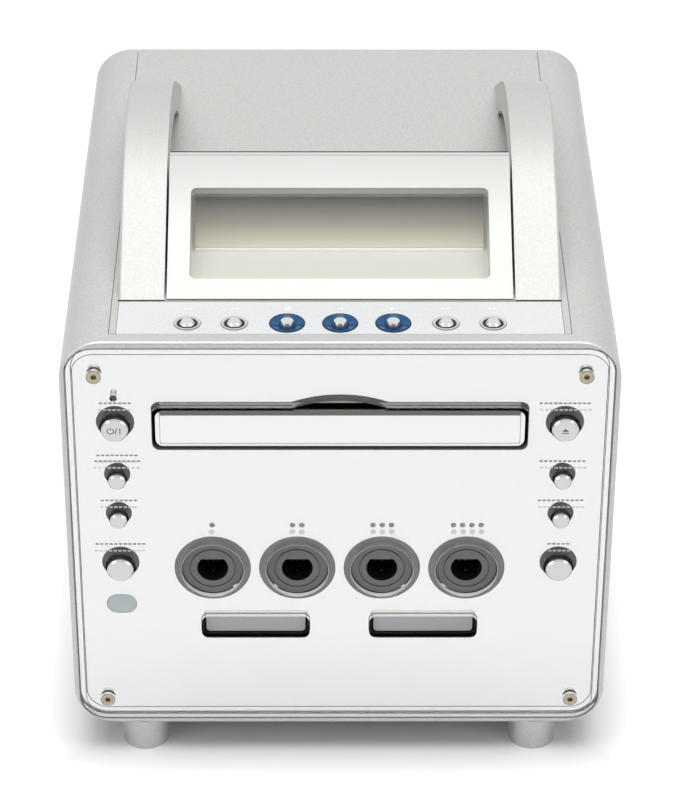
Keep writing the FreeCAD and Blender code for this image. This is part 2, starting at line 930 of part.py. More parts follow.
for word, side in SIDES.items():
    for step, size in enumerate(boss_drops):
        bosses.append(rod(
            f"board_boss_{word}_{step}", "y", (side * button_column, drop(size)),
            (chassis_back, board_front),
            d.board_boss_radius))
node("front_chassis", fuse("front_chassis", chassis, *bosses))


# Front screws with hexagon sockets

def front_screw(step, place):
    head = rod(
        f"screw_head_{step}", "y", place, (face, face + d.screw_head_height), d.screw_head_radius)
    shank = rod(
        f"screw_shank_{step}", "y", place,
        (face + d.screw_head_height, chassis_back + d.screw_boss_length), d.screw_radius)
    key = doc.addObject("Part::Prism", f"screw_key_{step}")
    key.Polygon = HEX_SIDES
    bind(key, "Circumradius", d.screw_socket_radius)
    bind(key, "Height", d.screw_socket_depth)
    place_along(key, "y", place, face)
    return cut(f"front_screw_{step}", fuse(f"screw_blank_{step}", head, shank), key)


screws = [front_screw(step, place) for step, place in enumerate(screw_places)]
node("front_screws", group("front_screws", screws))


# Front buttons: turned caps with a flange behind the chassis

def front_button(name, place, radius):
    front = face - d.cap_reach
    edge = cone(f"{name}_edge", "y", place, (front, front + d.cap_edge), radius - d.cap_edge, radius)
    cap = rod(f"{name}_cap", "y", place, (front + d.cap_edge, chassis_back), radius)
    flange = rod(
        f"{name}_flange", "y", place, (chassis_back, chassis_back + d.cap_flange_thickness),
        radius + d.cap_flange)
    node(name, fuse(name, edge, cap, flange))


FRONT_BUTTONS = {
    "power_button": (-1, d.power_drop, d.large_cap_radius),
    "voice_button": (-1, upper_small_drop, d.small_cap_radius),
    "cinema_button": (-1, lower_small_drop, d.small_cap_radius),
    "reset_button": (-1, lower_large_drop, d.large_cap_radius),
    "open_close_button": (1, d.power_drop, d.large_cap_radius),
    "surround_button": (1, upper_small_drop, d.small_cap_radius),
    "bass_button": (1, lower_small_drop, d.small_cap_radius),
    "game_button": (1, lower_large_drop, d.large_cap_radius),
}
for name, (side, size, radius) in FRONT_BUTTONS.items():
    front_button(name, (side * button_column, drop(size)), radius)


# Pilot lamp and remote sensor lens

lamp_stem = rod("lamp_stem", "y", lamp_place, (face + d.lamp_setback, chassis_back), d.lamp_radius)
lamp_base = rod(
    "lamp_base", "y", lamp_place, (chassis_back, face + d.lamp_setback + d.lamp_length),
    d.lamp_radius + d.lamp_flange)
node("power_lamp", fuse("power_lamp", lamp_stem, lamp_base))
lens = doc.addObject("PartDesign::Body", "sensor_lens")
sketch = plane_sketch(lens, "sensor_outline", "XZ_Plane", -mirror_front)
rounded_rectangle(
    sketch, around(sensor_place[0], d.sensor_width), around(sensor_place[1], d.sensor_height),
    d.sensor_corner)
pad(lens, sketch, d.mirror_thickness, reverse=True)
node("sensor_lens", lens)


# Controller ports: a flanged plug with a groove and a flat-topped socket

def controller_port(step, place):
    name = f"port_{step}"
    front = face + d.port_setback
    shoulder = front + d.port_edge
    edge = cone(f"{name}_edge", "y", place, (front, shoulder), d.port_radius - d.port_edge, d.port_radius)
    plug = rod(f"{name}_plug", "y", place, (shoulder, mirror_front), d.port_radius)
    flange = rod(f"{name}_flange", "y", place, (mirror_front, mirror_back), d.port_flange_radius)
    barrel = rod(
        f"{name}_barrel", "y", place, (mirror_back, chassis_back + d.port_barrel_length),
        d.port_barrel_radius)
    across, up = place
    hollow = (front - d.overrun, front + d.socket_depth)
    bore = rod(f"{name}_bore", "y", place, hollow, d.socket_radius)
    flat = box(
        f"{name}_flat", around(across, 2 * d.socket_radius), hollow,
        (up - d.socket_radius, up + d.socket_flat))
    socket = common(f"{name}_socket", bore, flat)
    ring = (front - d.overrun, front + d.port_groove_depth)
    outer = rod(f"{name}_ring", "y", place, ring, d.port_groove_radius + d.port_groove_width / 2)
    core = rod(f"{name}_core", "y", place, ring, d.port_groove_radius - d.port_groove_width / 2)
    groove = cut(f"{name}_groove", outer, core)
    return cut(name, fuse(f"{name}_blank", edge, plug, flange, barrel), socket, groove)


ports = [controller_port(step, place) for step, place in enumerate(port_places)]
node("controller_ports", group("controller_ports", ports))


# Card slots: sleeves through the front, each with a flap on two pins

card_front = face + d.card_setback
flap_front = card_front + d.flap_setback
flap_middle = flap_front + d.flap_thickness / 2
pin_drop = d.card_wall + d.flap_gap + d.flap_barrel_radius
sleeve_corner = d.card_corner - d.fit_gap
flap_corner = sleeve_corner - d.card_wall - d.flap_gap


def rounded_block(name, x, y, z, corner):
    """Block between two depths, with rounded corners as seen from the front."""
    body = doc.addObject("PartDesign::Body", name)
    sketch = plane_sketch(body, f"{name}_outline", "XZ_Plane", -y[0])
    rounded_rectangle(sketch, x, z, corner)
    pad(body, sketch, y[1] - y[0], reverse=True)
    return body


def card_sleeve(word, centre):
    across, up = centre
    wide, high = d.card_width - 2 * d.fit_gap, d.card_height - 2 * d.fit_gap
    span = (card_front, card_front + d.card_length)
    shell = rounded_block(
        f"card_shell_{word}", around(across, wide), span, around(up, high), sleeve_corner)
    flange = box(
        f"card_flange_{word}", around(across, wide + 2 * d.card_flange),
        (chassis_back, chassis_back + d.card_flange_thickness), around(up, high + 2 * d.card_flange))
    hollow = rounded_block(
        f"card_hollow_{word}", around(across, wide - 2 * d.card_wall),
        (card_front - d.overrun, span[1] - d.card_wall), around(up, high - 2 * d.card_wall),
        sleeve_corner - d.card_wall)
    pin_level = up + high / 2 - pin_drop
    holes = rod(
        f"card_pin_holes_{word}", "x", (flap_middle, pin_level), around(across, wide + 2 * d.overrun),
        d.flap_pin_radius + d.bearing_gap)
    return cut(f"card_sleeve_{word}", fuse(f"card_block_{word}", shell, flange), hollow, holes)


def card_flap(word, centre):
    across, up = centre
    high = d.card_height - 2 * d.fit_gap
    mouth = d.card_width - 2 * (d.fit_gap + d.card_wall)
    wide = mouth - 2 * d.flap_side_gap
    pin_level = up + high / 2 - pin_drop
    depths = (flap_front, flap_front + d.flap_thickness)
    plate = rounded_block(
        f"flap_plate_{word}", around(across, wide), depths,
        (up - high / 2 + d.card_wall + d.flap_gap, pin_level), flap_corner)
    shoulders = box(f"flap_shoulders_{word}", around(across, wide), depths, (up, pin_level))
    barrel = rod(
        f"flap_barrel_{word}", "x", (flap_middle, pin_level), around(across, wide - 2 * flap_corner),
        d.flap_barrel_radius)
    pins = rod(
        f"flap_pins_{word}", "x", (flap_middle, pin_level),
        around(across, mouth + 2 * d.flap_pin_length),
        d.flap_pin_radius)
    name = f"card_flap_{word}"
    node(name, fuse(name, plate, shoulders, barrel, pins))


sleeves = [card_sleeve(word, centre) for word, centre in card_places.items()]
node("card_slots", group("card_slots", sleeves))
for word, centre in card_places.items():
    card_flap(word, centre)


# Tray door with a bevelled front

door_x = around(0, slot_width - 2 * d.door_gap)
door_z = around(slot_level, d.slot_height - 2 * d.door_gap)
door = doc.addObject("PartDesign::Body", "tray_door")
sketch = plane_sketch(door, "door_outline", "XZ_Plane", -face)
rounded_rectangle(sketch, door_x, door_z, d.door_corner + d.door_bevel)
door_pad = pad(door, sketch, d.door_thickness, reverse=True)
bevel = dress(door, "Chamfer", door_pad, lambda place: near(place.y, face), "Size", d.door_bevel_depth)
bevel.ChamferType = "Two distances"
bind(bevel, "Size2", d.door_bevel)
node("tray_door", door)


# Disc tray: a plate with two disc recesses, a spindle slot and a rack underneath

tray_x = grown(door_x, -d.tray_side_inset)
deck_y = (chassis_back + d.deck_front_gap, rear_y[0] - d.deck_rear_gap)
tray_y = (face + d.door_thickness, deck_y[1] - d.tray_rear_gap)
rack_line = tray_x[1] - d.rack_inset
tray_low = slot_level - d.tray_sink
tray_high = tray_low + d.tray_thickness
disc_y = tray_y[0] + d.disc_front_wall + d.disc_radius + d.disc_gap
gear_y = face + d.gear_place
pitch_radius = d.tooth_module * GEAR_TEETH / 2
tooth_pitch = d.tooth_module * math.pi
gear_x = rack_line - pitch_radius
TIP_SHARE = 0.85
ROOT_SHARE = 1.2


def rack_body():
    """Straight rack: a bar, and one tooth repeated along it."""
    body = doc.addObject("PartDesign::Body", "tray_rack")
    low = tray_low - d.rack_height
    root = rack_line + d.tooth_module * ROOT_SHARE
    tip = rack_line - d.tooth_module * TIP_SHARE
    first = gear_y - tooth_pitch * 2.5
    count = int((tray_y[1].value - first.value) / tooth_pitch.value)
    bar = plane_sketch(body, "rack_bar", "XY_Plane", low)
    ends = (first - tooth_pitch / 2, tray_y[1])
    rectangle(bar, (root, root + d.rack_back), ends)
    pad(body, bar, d.rack_height)
    tooth = plane_sketch(body, "rack_tooth", "XY_Plane", low)
    middle = (tooth_pitch - d.tooth_backlash) / 4
    slope = math.tan(PRESSURE_ANGLE)
    wide = middle + d.tooth_module * ROOT_SHARE * slope
    narrow = middle - d.tooth_module * TIP_SHARE * slope
    polygon(tooth, [
        (root, first - wide), (root, first + wide), (tip, first + narrow), (tip, first - narrow)])
    tooth_pad = pad(body, tooth, d.rack_height)
    doc.recompute()
    row = body.newObject("PartDesign::LinearPattern", "rack_row")
    row.Originals = [tooth_pad]
    row.Direction = (tooth, ["V_Axis"])
    bind(row, "Length", tooth_pitch * (count - 1))
    row.Occurrences = count
    body.Tip = row
    return body


tray_plate = box("tray_plate", tray_x, tray_y, (tray_low, tray_high))
disc_centre = (0, disc_y)
recess = rod(
    "disc_recess_cut", "z", disc_centre, (tray_high - d.disc_recess, tray_high + d.overrun),
    d.disc_radius + d.disc_gap)
small_recess = rod(
    "small_recess_cut", "z", disc_centre,
    (tray_high - d.disc_recess - d.small_disc_recess, tray_high + d.overrun),
    d.small_disc_radius + d.disc_gap)
spindle_slot = box(
    "spindle_slot", around(0, d.tray_slot_width),
    (disc_y - d.tray_slot_width / 2, tray_y[1] + d.overrun),
    (tray_low - d.overrun, tray_high + d.overrun))
tray_top = cut("tray_top", tray_plate, recess, small_recess, spindle_slot)
node("disc_tray", fuse("disc_tray", tray_top, rack_body()))


# Loading gear on its motor's shaft

def involute_turn(radius):
    """Angle that an involute flank has turned at a radius."""
    base = pitch_radius.value * math.cos(PRESSURE_ANGLE)
    lean = math.acos(min(1, base / radius))
    return math.tan(lean) - lean


gear_low = tray_low - d.rack_height + d.run_gap
gear_high = tray_low - d.run_gap
deck_floor = tray_low - d.deck_floor_drop
deck_top = deck_floor + d.deck_floor_thickness


def loading_gear():
    """Spur pinion: a root disc, and one tooth repeated round it."""
    body = doc.addObject("PartDesign::Body", "gear_wheel")
    root = pitch_radius - d.tooth_module * ROOT_SHARE
    tip = pitch_radius + d.tooth_module * TIP_SHARE
    disc = plane_sketch(body, "gear_root", "XY_Plane", 0)
    circle(disc, 0, 0, root)
    pad(body, disc, gear_high - gear_low)
    tooth = plane_sketch(body, "gear_tooth", "XY_Plane", 0)
    flank = []
    slim = d.tooth_backlash.value / 4 / pitch_radius.value
    level = math.pi / 2 / GEAR_TEETH + involute_turn(pitch_radius.value) - slim
    base = pitch_radius * math.cos(PRESSURE_ANGLE)
    for radius in (root * ROOT_SHARE ** -0.5, base, pitch_radius, tip):
        turn = level - involute_turn(radius.value)
        flank.append((radius * math.cos(turn), radius * math.sin(turn)))
    polygon(tooth, flank + [(across, -up) for across, up in reversed(flank)])
    tooth_pad = pad(body, tooth, gear_high - gear_low)
    doc.recompute()
    ring = body.newObject("PartDesign::PolarPattern", "gear_ring")
    ring.Originals = [tooth_pad]
    ring.Axis = (tooth, ["N_Axis"])
    ring.Angle = 360
    ring.Occurrences = GEAR_TEETH
    body.Tip = ring
    place_along(body, "z", (gear_x, gear_y), gear_low)
    shaft = rod(
        "gear_shaft", "z", (gear_x, gear_y), (gear_low - d.gear_shaft_length, gear_low),
        d.gear_shaft_radius)
    return fuse("loading_gear", body, shaft)


node("loading_gear", loading_gear())
loader_can = rod(
    "loader_can", "z", (gear_x, gear_y), (deck_floor - d.loader_height, deck_floor), d.loader_radius)
loader_bore = rod(
    "loader_bore", "z", (gear_x, gear_y),
    (gear_low - d.gear_shaft_length - d.run_gap, deck_floor + d.overrun),
    d.gear_shaft_radius + d.bearing_gap)
node("loading_motor", cut("loading_motor", loader_can, loader_bore))


# Drive deck: floor, side walls, ledges and guides that the tray runs between

wall_in = tray_x[1] + d.deck_side_gap
wall_out = wall_in + d.deck_wall
deck_wall_top = tray_high + d.deck_wall_rise - d.tray_thickness
opening_y = (face + d.deck_opening_front, deck_y[1] - d.deck_opening_rear)


def deck_side(word, side):
    def spread(low, high):
        return (low, high) if side > 0 else (-high, -low)
    wall = box(f"deck_wall_{word}", spread(wall_in, wall_out), deck_y, (deck_floor, deck_wall_top))
    ledge_low = tray_low - d.run_gap - d.deck_ledge_thickness
    ledge = box(
        f"deck_ledge_{word}", spread(wall_in - d.deck_ledge_width, wall_in), deck_y,
        (ledge_low, tray_low - d.run_gap))
    guide_low = tray_high + d.run_gap
    guide = box(
        f"deck_guide_{word}", spread(wall_in - d.deck_guide_width, wall_in),
        (deck_y[0], deck_y[0] + d.deck_guide_length), (guide_low, guide_low + d.deck_guide_thickness))
    return [wall, ledge, guide]


deck_plate = box("deck_plate", (-wall_out, wall_out), deck_y, (deck_floor, deck_top))
deck_opening = box(
    "deck_opening", around(0, d.deck_opening_width), opening_y,
    (deck_floor - d.overrun, deck_top + d.overrun))
shaft_hole = rod(
    "deck_shaft_hole", "z", (gear_x, gear_y), (deck_floor - d.overrun, deck_top + d.overrun),
    d.gear_shaft_radius + d.run_gap)
deck_parts = [cut("deck_frame", deck_plate, deck_opening, shaft_hole)]
for word, side in SIDES.items():
    deck_parts += deck_side(word, side)
node("drive_chassis", fuse("drive_chassis", *deck_parts))


# Deck brackets: folded sheet legs from the base plate up to the deck

def deck_bracket(word, side):
    def spread(low, high):
        return (low, high) if side > 0 else (-high, -low)
    span = (face + d.bracket_front, deck_y[1] - d.bracket_rear)
    outer = wall_out
    inner = wall_out - d.bracket_thickness
    leg = box(f"bracket_leg_{word}", spread(inner, outer), span, (base_top, deck_floor))
    head = box(
        f"bracket_head_{word}", spread(outer - d.bracket_flange, outer), span,
        (deck_floor - d.bracket_thickness, deck_floor))
    toe = box(
        f"bracket_toe_{word}", spread(outer - d.bracket_flange, outer), span,
        (base_top, base_top + d.bracket_thickness))
    return fuse(f"bracket_{word}", leg, head, toe)


brackets = [deck_bracket(word, side) for word, side in SIDES.items()]
node("deck_brackets", group("deck_brackets", brackets))


# Traverse frame in the deck's opening, with the spindle motor and the rails on it

traverse_x = around(0, d.deck_opening_width + 2 * d.traverse_overlap)
traverse_y = grown(opening_y, d.traverse_overlap)
traverse_top = deck_top + d.traverse_thickness
pickup_y = (disc_y + d.pickup_window_front, opening_y[1] - d.pickup_window_rear)
rail_level = traverse_top + d.rail_rise
traverse_plate = box("traverse_plate", traverse_x, traverse_y, (deck_top, traverse_top))
pickup_window = box(
    "pickup_window", around(0, d.pickup_window_width - 2 * d.rail_block_width), pickup_y,
    (deck_top - d.overrun, traverse_top + d.overrun))
blocks = []
rails = []
rail_ends = (pickup_y[0] - d.rail_block_length, pickup_y[1] + d.rail_block_length)
for word, side in SIDES.items():
    across = side * d.rail_column
    rails.append(rod(f"rail_{word}", "y", (across, rail_level), rail_ends, d.rail_radius))
    bore = rod(
        f"rail_bore_{word}", "y", (across, rail_level), grown(rail_ends, d.overrun),
        d.rail_radius + d.bearing_gap)
    for end, y in (("front", (rail_ends[0], pickup_y[0])), ("rear", (pickup_y[1], rail_ends[1]))):
        block = box(
            f"rail_block_{word}_{end}", around(across, d.rail_block_width), y,
            (traverse_top, rail_level + d.rail_block_width / 2))
        blocks.append(cut(f"rail_holder_{word}_{end}", block, bore))
traverse_base = cut("traverse_base", traverse_plate, pickup_window)
node("traverse_frame", fuse("traverse_frame", traverse_base, *blocks))
node("pickup_rails", group("pickup_rails", rails))

spindle_can = rod(
    "spindle_can", "z", disc_centre, (traverse_top, traverse_top + d.spindle_height), d.spindle_radius)
spindle_bore = rod(
    "spindle_bore", "z", disc_centre, (traverse_top, traverse_top + d.spindle_height + d.overrun),
    d.shaft_radius + d.bearing_gap)
node("spindle_motor", cut("spindle_motor", spindle_can, spindle_bore))


# Turntable: a disc and a centring hub on the spindle's shaft

table_low = traverse_top + d.spindle_height + d.run_gap
table_high = table_low + d.table_thickness
table_shaft = rod(
    "table_shaft", "z", disc_centre, (traverse_top + d.run_gap, table_low), d.shaft_radius)
table_disc = rod("table_disc", "z", disc_centre, (table_low, table_high), d.table_radius)
table_hub = cone(
    "table_hub", "z", disc_centre, (table_high, table_high + d.hub_height), d.hub_radius,
    d.hub_tip_radius)
node("turntable", fuse("turntable", table_shaft, table_disc, table_hub))


# Optical pickup: a sled on the two rails, with its lens

sled_y = (pickup_y[0] + d.sled_front, pickup_y[0] + d.sled_front + d.sled_length)
sled_z = around(rail_level, d.sled_height)
sled = box("sled_block", around(0, d.sled_width), sled_y, sled_z)
lens_mount = rod(
    "lens_mount", "z", (0, sled_y[0] + d.lens_place), (sled_z[1], sled_z[1] + d.lens_height),
    d.lens_radius)
sled_bores = [
    rod(f"sled_bore_{word}", "y", (side * d.rail_column, rail_level), grown(sled_y, d.overrun),
        d.rail_radius + d.bearing_gap)
    for word, side in SIDES.items()
]
node("optical_pickup", cut("optical_pickup", fuse("pickup_blank", sled, lens_mount), *sled_bores))


# Clamp bridge across the deck's walls, and the clamp that hangs in it

bridge_top = deck_wall_top + d.clamp_bridge_thickness
bridge_plate = box(
    "bridge_plate", (-wall_out, wall_out), around(disc_y, d.clamp_bridge_width),
    (deck_wall_top, bridge_top))
bridge_hole = rod(
    "bridge_hole", "z", disc_centre, (deck_wall_top - d.overrun, bridge_top + d.overrun),
    d.clamp_neck_radius + d.clamp_neck_gap)
node("clamp_bridge", cut("clamp_bridge", bridge_plate, bridge_hole))
clamp_low = tray_high + d.clamp_clearance
cap_low = bridge_top + d.run_gap
clamp_disc = rod(
    "clamp_disc", "z", disc_centre, (clamp_low, clamp_low + d.clamp_thickness), d.clamp_radius)
clamp_neck = rod("clamp_neck", "z", disc_centre, (clamp_low, cap_low), d.clamp_neck_radius)
clamp_cap = rod(
    "clamp_cap", "z", disc_centre, (cap_low, cap_low + d.clamp_cap_thickness), d.clamp_cap_radius)
node("disc_clamp", fuse("disc_clamp", clamp_disc, clamp_neck, clamp_cap))


# Top insert panel, control strip, rings and buttons

strip_width = insert_width - 2 * d.strip_inset
strip_y = (frame_back + d.fit_gap, frame_back + d.fit_gap + d.strip_depth)
strip_low = top - d.strip_thickness
row_y = face + d.button_row
BLUE_SHARE = 0.1189
CLEAR_SHARES = (0.3427, 0.2371)
clear_places = [side * strip_width * share for side in (-1, 1) for share in CLEAR_SHARES]
blue_places = [step * strip_width * BLUE_SHARE for step in (-1, 0, 1)]
TOP_BUTTONS = [("clear", across, d.clear_cap_radius, d.clear_cap_top) for across in clear_places]
TOP_BUTTONS += [("blue", across, d.blue_cap_radius, d.blue_cap_top) for across in blue_places]
TOP_BUTTONS.sort(key=lambda button: button[1].value)

boss_x = strip_width * CLEAR_SHARES[0] + d.top_board_boss_gap
top_board_width = 2 * (boss_x + d.top_board_end)
top_board_high = panel_under - d.top_flange_thickness - d.top_travel - d.run_gap - d.switch_height
top_slab = box(
    "top_slab", around(0, insert_width - 2 * d.seam_gap), (frame_back + d.fit_gap, back),
    (panel_under, top))
strip_seat = box(
    "strip_seat", around(0, strip_width + 2 * d.fit_gap),
    (strip_y[0] - d.overrun, strip_y[1] + d.strip_rear_gap),
    (strip_low, top + d.overrun))
stem_holes = [
    rod(f"stem_hole_{step}", "z", (across, row_y), (panel_under - d.overrun, top), radius + d.run_gap)
    for step, (_, across, radius, _) in enumerate(TOP_BUTTONS)
]
top_bosses = [
    rod(f"top_boss_{word}", "z", (side * boss_x, row_y), (top_board_high, panel_under),
        d.board_boss_radius)
    for word, side in SIDES.items()
]
node("top_panel", fuse("top_panel", cut("top_sheet", top_slab, strip_seat, *stem_holes), *top_bosses))

strip_slab = box("strip_slab", around(0, strip_width), strip_y, (strip_low, top))
RING_RADIUS = {"clear": d.clear_ring_radius, "blue": d.blue_ring_radius}
RING_RISE = {"clear": d.clear_ring_rise, "blue": d.blue_ring_rise}
ring_holes = [
    rod(f"ring_hole_{step}", "z", (across, row_y), (strip_low - d.overrun, top + d.overrun),
        RING_RADIUS[kind] + d.fit_gap)
    for step, (kind, across, _, _) in enumerate(TOP_BUTTONS)
]
node("control_strip", cut("control_strip", strip_slab, *ring_holes))


def button_ring(step, kind, across, cap_radius):
    """Dished ring round one top button."""
    high = top + RING_RISE[kind]
    outer = rod(f"ring_{step}_body", "z", (across, row_y), (strip_low, high), RING_RADIUS[kind])
    bore_radius = cap_radius + d.ring_bore_gap
    bore = rod(
        f"ring_{step}_bore", "z", (across, row_y), (strip_low - d.overrun, high + d.overrun),
        bore_radius)
    dish = cone(
        f"ring_{step}_dish", "z", (across, row_y), (high - d.ring_dish, high), bore_radius,
        RING_RADIUS[kind] - d.ring_wall)
    return cut(f"ring_{step}", outer, bore, dish)


for kind in ("clear", "blue"):
    rings = [
        button_ring(step, kind, across, radius)
        for step, (word, across, radius, _) in enumerate(TOP_BUTTONS) if word == kind
    ]
    node(f"{kind}_rings", group(f"{kind}_rings", rings))


def top_button(name, across, radius, crown):
    high = top + d.top_cap_rise
    place = (across, row_y)
    stem = rod(f"{name}_stem", "z", place, (panel_under, high - d.top_cap_crown), radius)
    cap = cone(f"{name}_crown", "z", place, (high - d.top_cap_crown, high), radius, crown)
    flange = rod(
        f"{name}_flange", "z", place, (panel_under - d.top_flange_thickness, panel_under),
        radius + d.top_flange)
    node(name, fuse(name, stem, cap, flange))


for step, (kind, across, radius, crown) in enumerate(TOP_BUTTONS, start=1):
    top_button(f"top_button_{step}", across, radius, crown)


# Switch boards behind the front buttons and under the top ones

def switch(name, axis, place, span):
    """Square push switch that faces a button's flange."""
    others = [around(size, d.switch_width) for size in place]
    spans = {"y": (others[0], span, others[1]), "z": (others[0], others[1], span)}
    return box(name, *spans[axis])


def side_board(word, side):
    across = side * button_column
    drops = (d.power_drop, upper_small_drop, lower_small_drop, lower_large_drop)
    switch_span = (board_front - d.switch_height, board_front)
    plate = box(
        f"side_board_{word}", around(across, d.side_board_width),
        (board_front, board_front + d.board_thickness),
        (drop(lower_large_drop + d.side_board_end), drop(d.power_drop - d.side_board_end)))
    switches = [
        switch(f"side_switch_{word}_{step}", "y", (across, drop(size)), switch_span)
        for step, size in enumerate(drops)
    ]
    return fuse(f"switch_board_{word}", plate, *switches)


def top_board():
    plate = box(
        "top_board_plate", around(0, top_board_width),
        (chassis_back + d.run_gap, chassis_back + d.run_gap + d.top_board_depth),
        (top_board_high - d.board_thickness, top_board_high))
    switch_span = (top_board_high, top_board_high + d.switch_height)
    switches = [
        switch(f"top_switch_{step}", "z", (across, row_y), switch_span)
        for step, (_, across, _, _) in enumerate(TOP_BUTTONS)
    ]
    return fuse("switch_board_top", plate, *switches)


boards = [side_board(word, side) for word, side in SIDES.items()]
node("switch_boards", group("switch_boards", boards + [top_board()]))


# Handle arms: a tangent arch over a finger gap

arm_inner = seam - d.arm_side_gap - d.arm_width


def tangent_foot(foot, centre, radius, side):
    """Where a line from a point on the top touches the crest, as a first guess for the sketch."""
    reach = math.hypot(foot[0] - centre[0], foot[1] - centre[1])
    bearing = math.atan2(foot[1] - centre[1], foot[0] - centre[0])
    turn = bearing + side * math.acos(radius / reach)
    touch = FreeCAD.Vector(math.cos(turn), math.sin(turn), 0) * radius
    return turn, FreeCAD.Vector(*centre, 0) + touch


def arm_outline(sketch):
    """Ramp, crest and tail in one line, closed along the top panel."""
    front, rear = face + d.arm_front, face + d.arm_rear
    crest = (face + d.crest_place, top + d.crest_height - d.crest_radius)
    centre = (crest[0].value, crest[1].value)
    radius = d.crest_radius.value
    start, tail = point(front, top), point(rear, top)
    ramp_turn, ramp_end = tangent_foot(start, centre, radius, -1)
    tail_turn, tail_start = tangent_foot(tail, centre, radius, 1)
    ring = Part.Circle(point(*crest), FreeCAD.Vector(0, 0, 1), radius)
    sketch.addGeometry(Part.LineSegment(tail, tail_start))
    sketch.addGeometry(Part.ArcOfCircle(ring, tail_turn, ramp_turn))
    sketch.addGeometry(Part.LineSegment(ramp_end, start))
    sketch.addGeometry(Part.LineSegment(start, tail))
    sketch.addConstraint(Sketcher.Constraint("Tangent", 0, 2, 1, 1))
    sketch.addConstraint(Sketcher.Constraint("Tangent", 1, 2, 2, 1))
    sketch.addConstraint(Sketcher.Constraint("Coincident", 2, 2, 3, 1))
    sketch.addConstraint(Sketcher.Constraint("Coincident", 3, 2, 0, 1))
    hold(sketch, "Radius", 1, size=d.crest_radius)
    hold_point(sketch, 1, 3, *crest)
    hold_point(sketch, 3, 1, front, top)
    hold_point(sketch, 3, 2, rear, top)


def finger_gap(sketch):
    """Arched opening under the arm, with an upright front wall."""
    front = face + d.finger_front
    centre = (face + d.finger_place, top + d.finger_height - d.finger_radius)
    radius = d.finger_radius
    rise = top - centre[1]
    rear = centre[0] + (radius * radius - rise * rise).root()
    reach = centre[0] - front
    roof = centre[1] + (radius * radius - reach * reach).root()
    ring = Part.Circle(point(*centre), FreeCAD.Vector(0, 0, 1), radius.value)
    start = math.atan2(rise.value, rear.value - centre[0].value)
    end = math.atan2(roof.value - centre[1].value, -reach.value)
    sketch.addGeometry(Part.ArcOfCircle(ring, start, end))
    sketch.addGeometry(Part.LineSegment(point(front, roof), point(front, top)))
    sketch.addGeometry(Part.LineSegment(point(front, top), point(rear, top)))
    for edge in range(3):
        sketch.addConstraint(Sketcher.Constraint("Coincident", edge, 2, (edge + 1) % 3, 1))
    hold(sketch, "Radius", 0, size=radius)
    hold_point(sketch, 1, 1, front, roof)
    hold_point(sketch, 2, 1, front, top)
    hold_point(sketch, 2, 2, rear, top)


def handle_arm(name, side):
    body = doc.addObject("PartDesign::Body", name)
    inner = side * arm_inner
    outline = plane_sketch(body, f"{name}_outline", "YZ_Plane", inner)
    arm_outline(outline)
    solid = pad(body, outline, d.arm_width, reverse=side < 0)
    opening = plane_sketch(body, f"{name}_finger", "YZ_Plane", inner)
    finger_gap(opening)
    cut_through = pocket(body, opening, d.arm_width, reverse=side > 0)
    outer = arm_inner + d.arm_width

    def outer_top(place):
        return near(abs(place.x), outer)

    def on_crown(edge):
        return all(outer_top(vertex.Point) for vertex in edge.Vertexes)
    doc.recompute()
    names = [
        f"Edge{number}" for number, edge in enumerate(cut_through.Shape.Edges, start=1)
        if on_crown(edge) and edge.CenterOfMass.z > top.value + d.finger_height.value / 2
        and near_ring(edge, d.crest_radius)
    ]
    round_edge = body.newObject("PartDesign::Fillet", f"{name}_round")
    round_edge.Base = (cut_through, names)
    bind(round_edge, "Radius", d.arm_edge_round)
    node(name, body)


def near_ring(edge, radius):
    """An arc edge of a given radius."""
    return hasattr(edge.Curve, "Radius") and near(edge.Curve.Radius, radius)


for word, side in SIDES.items():
    handle_arm(f"handle_arm_{word}", side)


# Display pod: a sloped bezel on a wedge housing with a well for the panel

pod_y = face + d.pod_front
pod_width = 2 * (arm_inner - d.pod_side_gap)
window_width = pod_width - 2 * d.window_side
slope_length = (d.pod_run * d.pod_run + d.pod_rise * d.pod_rise).root()
lean_run, lean_rise = d.pod_run / slope_length, d.pod_rise / slope_length
bezel_foot = pod_y + d.bezel_thickness / lean_rise
crown = (pod_y + d.pod_run, top + d.pod_rise)
bezel_back = (crown[0] + d.bezel_thickness * lean_rise, crown[1] - d.bezel_thickness * lean_run)


def lay_on_slope(solid, y, level, run, rise):
    """Tilt a solid that was drawn flat, so that its Y climbs the slope."""
    solid.Placement.Rotation = FreeCAD.Rotation(FreeCAD.Vector(1, 0, 0), 1)
    solid.setExpression("Placement.Rotation.Angle", f"atan({rise.formula} / {run.formula})")
    bind(solid, "Placement.Base.y", y)
    bind(solid, "Placement.Base.z", level)


window_x = around(0, window_width)
window_y = (d.window_low, d.window_low + d.window_length)
bezel_sheet = doc.addObject("PartDesign::Body", "bezel_sheet")
sketch = plane_sketch(bezel_sheet, "bezel_outline", "XY_Plane", 0)
bezel_x = around(0, pod_width)
rectangle(sketch, bezel_x, (0, slope_length))
rounded_rectangle(sketch, window_x, window_y, d.window_corner)
pad(bezel_sheet, sketch, d.bezel_thickness, reverse=True)
lay_on_slope(bezel_sheet, pod_y, top, d.pod_run, d.pod_rise)
under_top = box(
    "under_top", around(0, pod_width + 2 * d.overrun), (pod_y - d.overrun, bezel_foot + d.overrun),
    (top - 2 * d.bezel_thickness, top))
node("display_bezel", cut("display_bezel", bezel_sheet, under_top))

display_lens = doc.addObject("PartDesign::Body", "display_lens")
sketch = plane_sketch(display_lens, "lens_outline", "XY_Plane", -d.lens_setback)
lens_corner = d.window_corner - d.lens_gap
rounded_rectangle(
    sketch, grown(window_x, -d.lens_gap), grown(window_y, -d.lens_gap), lens_corner)
pad(display_lens, sketch, d.lens_thickness, reverse=True)
lay_on_slope(display_lens, pod_y, top, d.pod_run, d.pod_rise)
node("display_lens", display_lens)

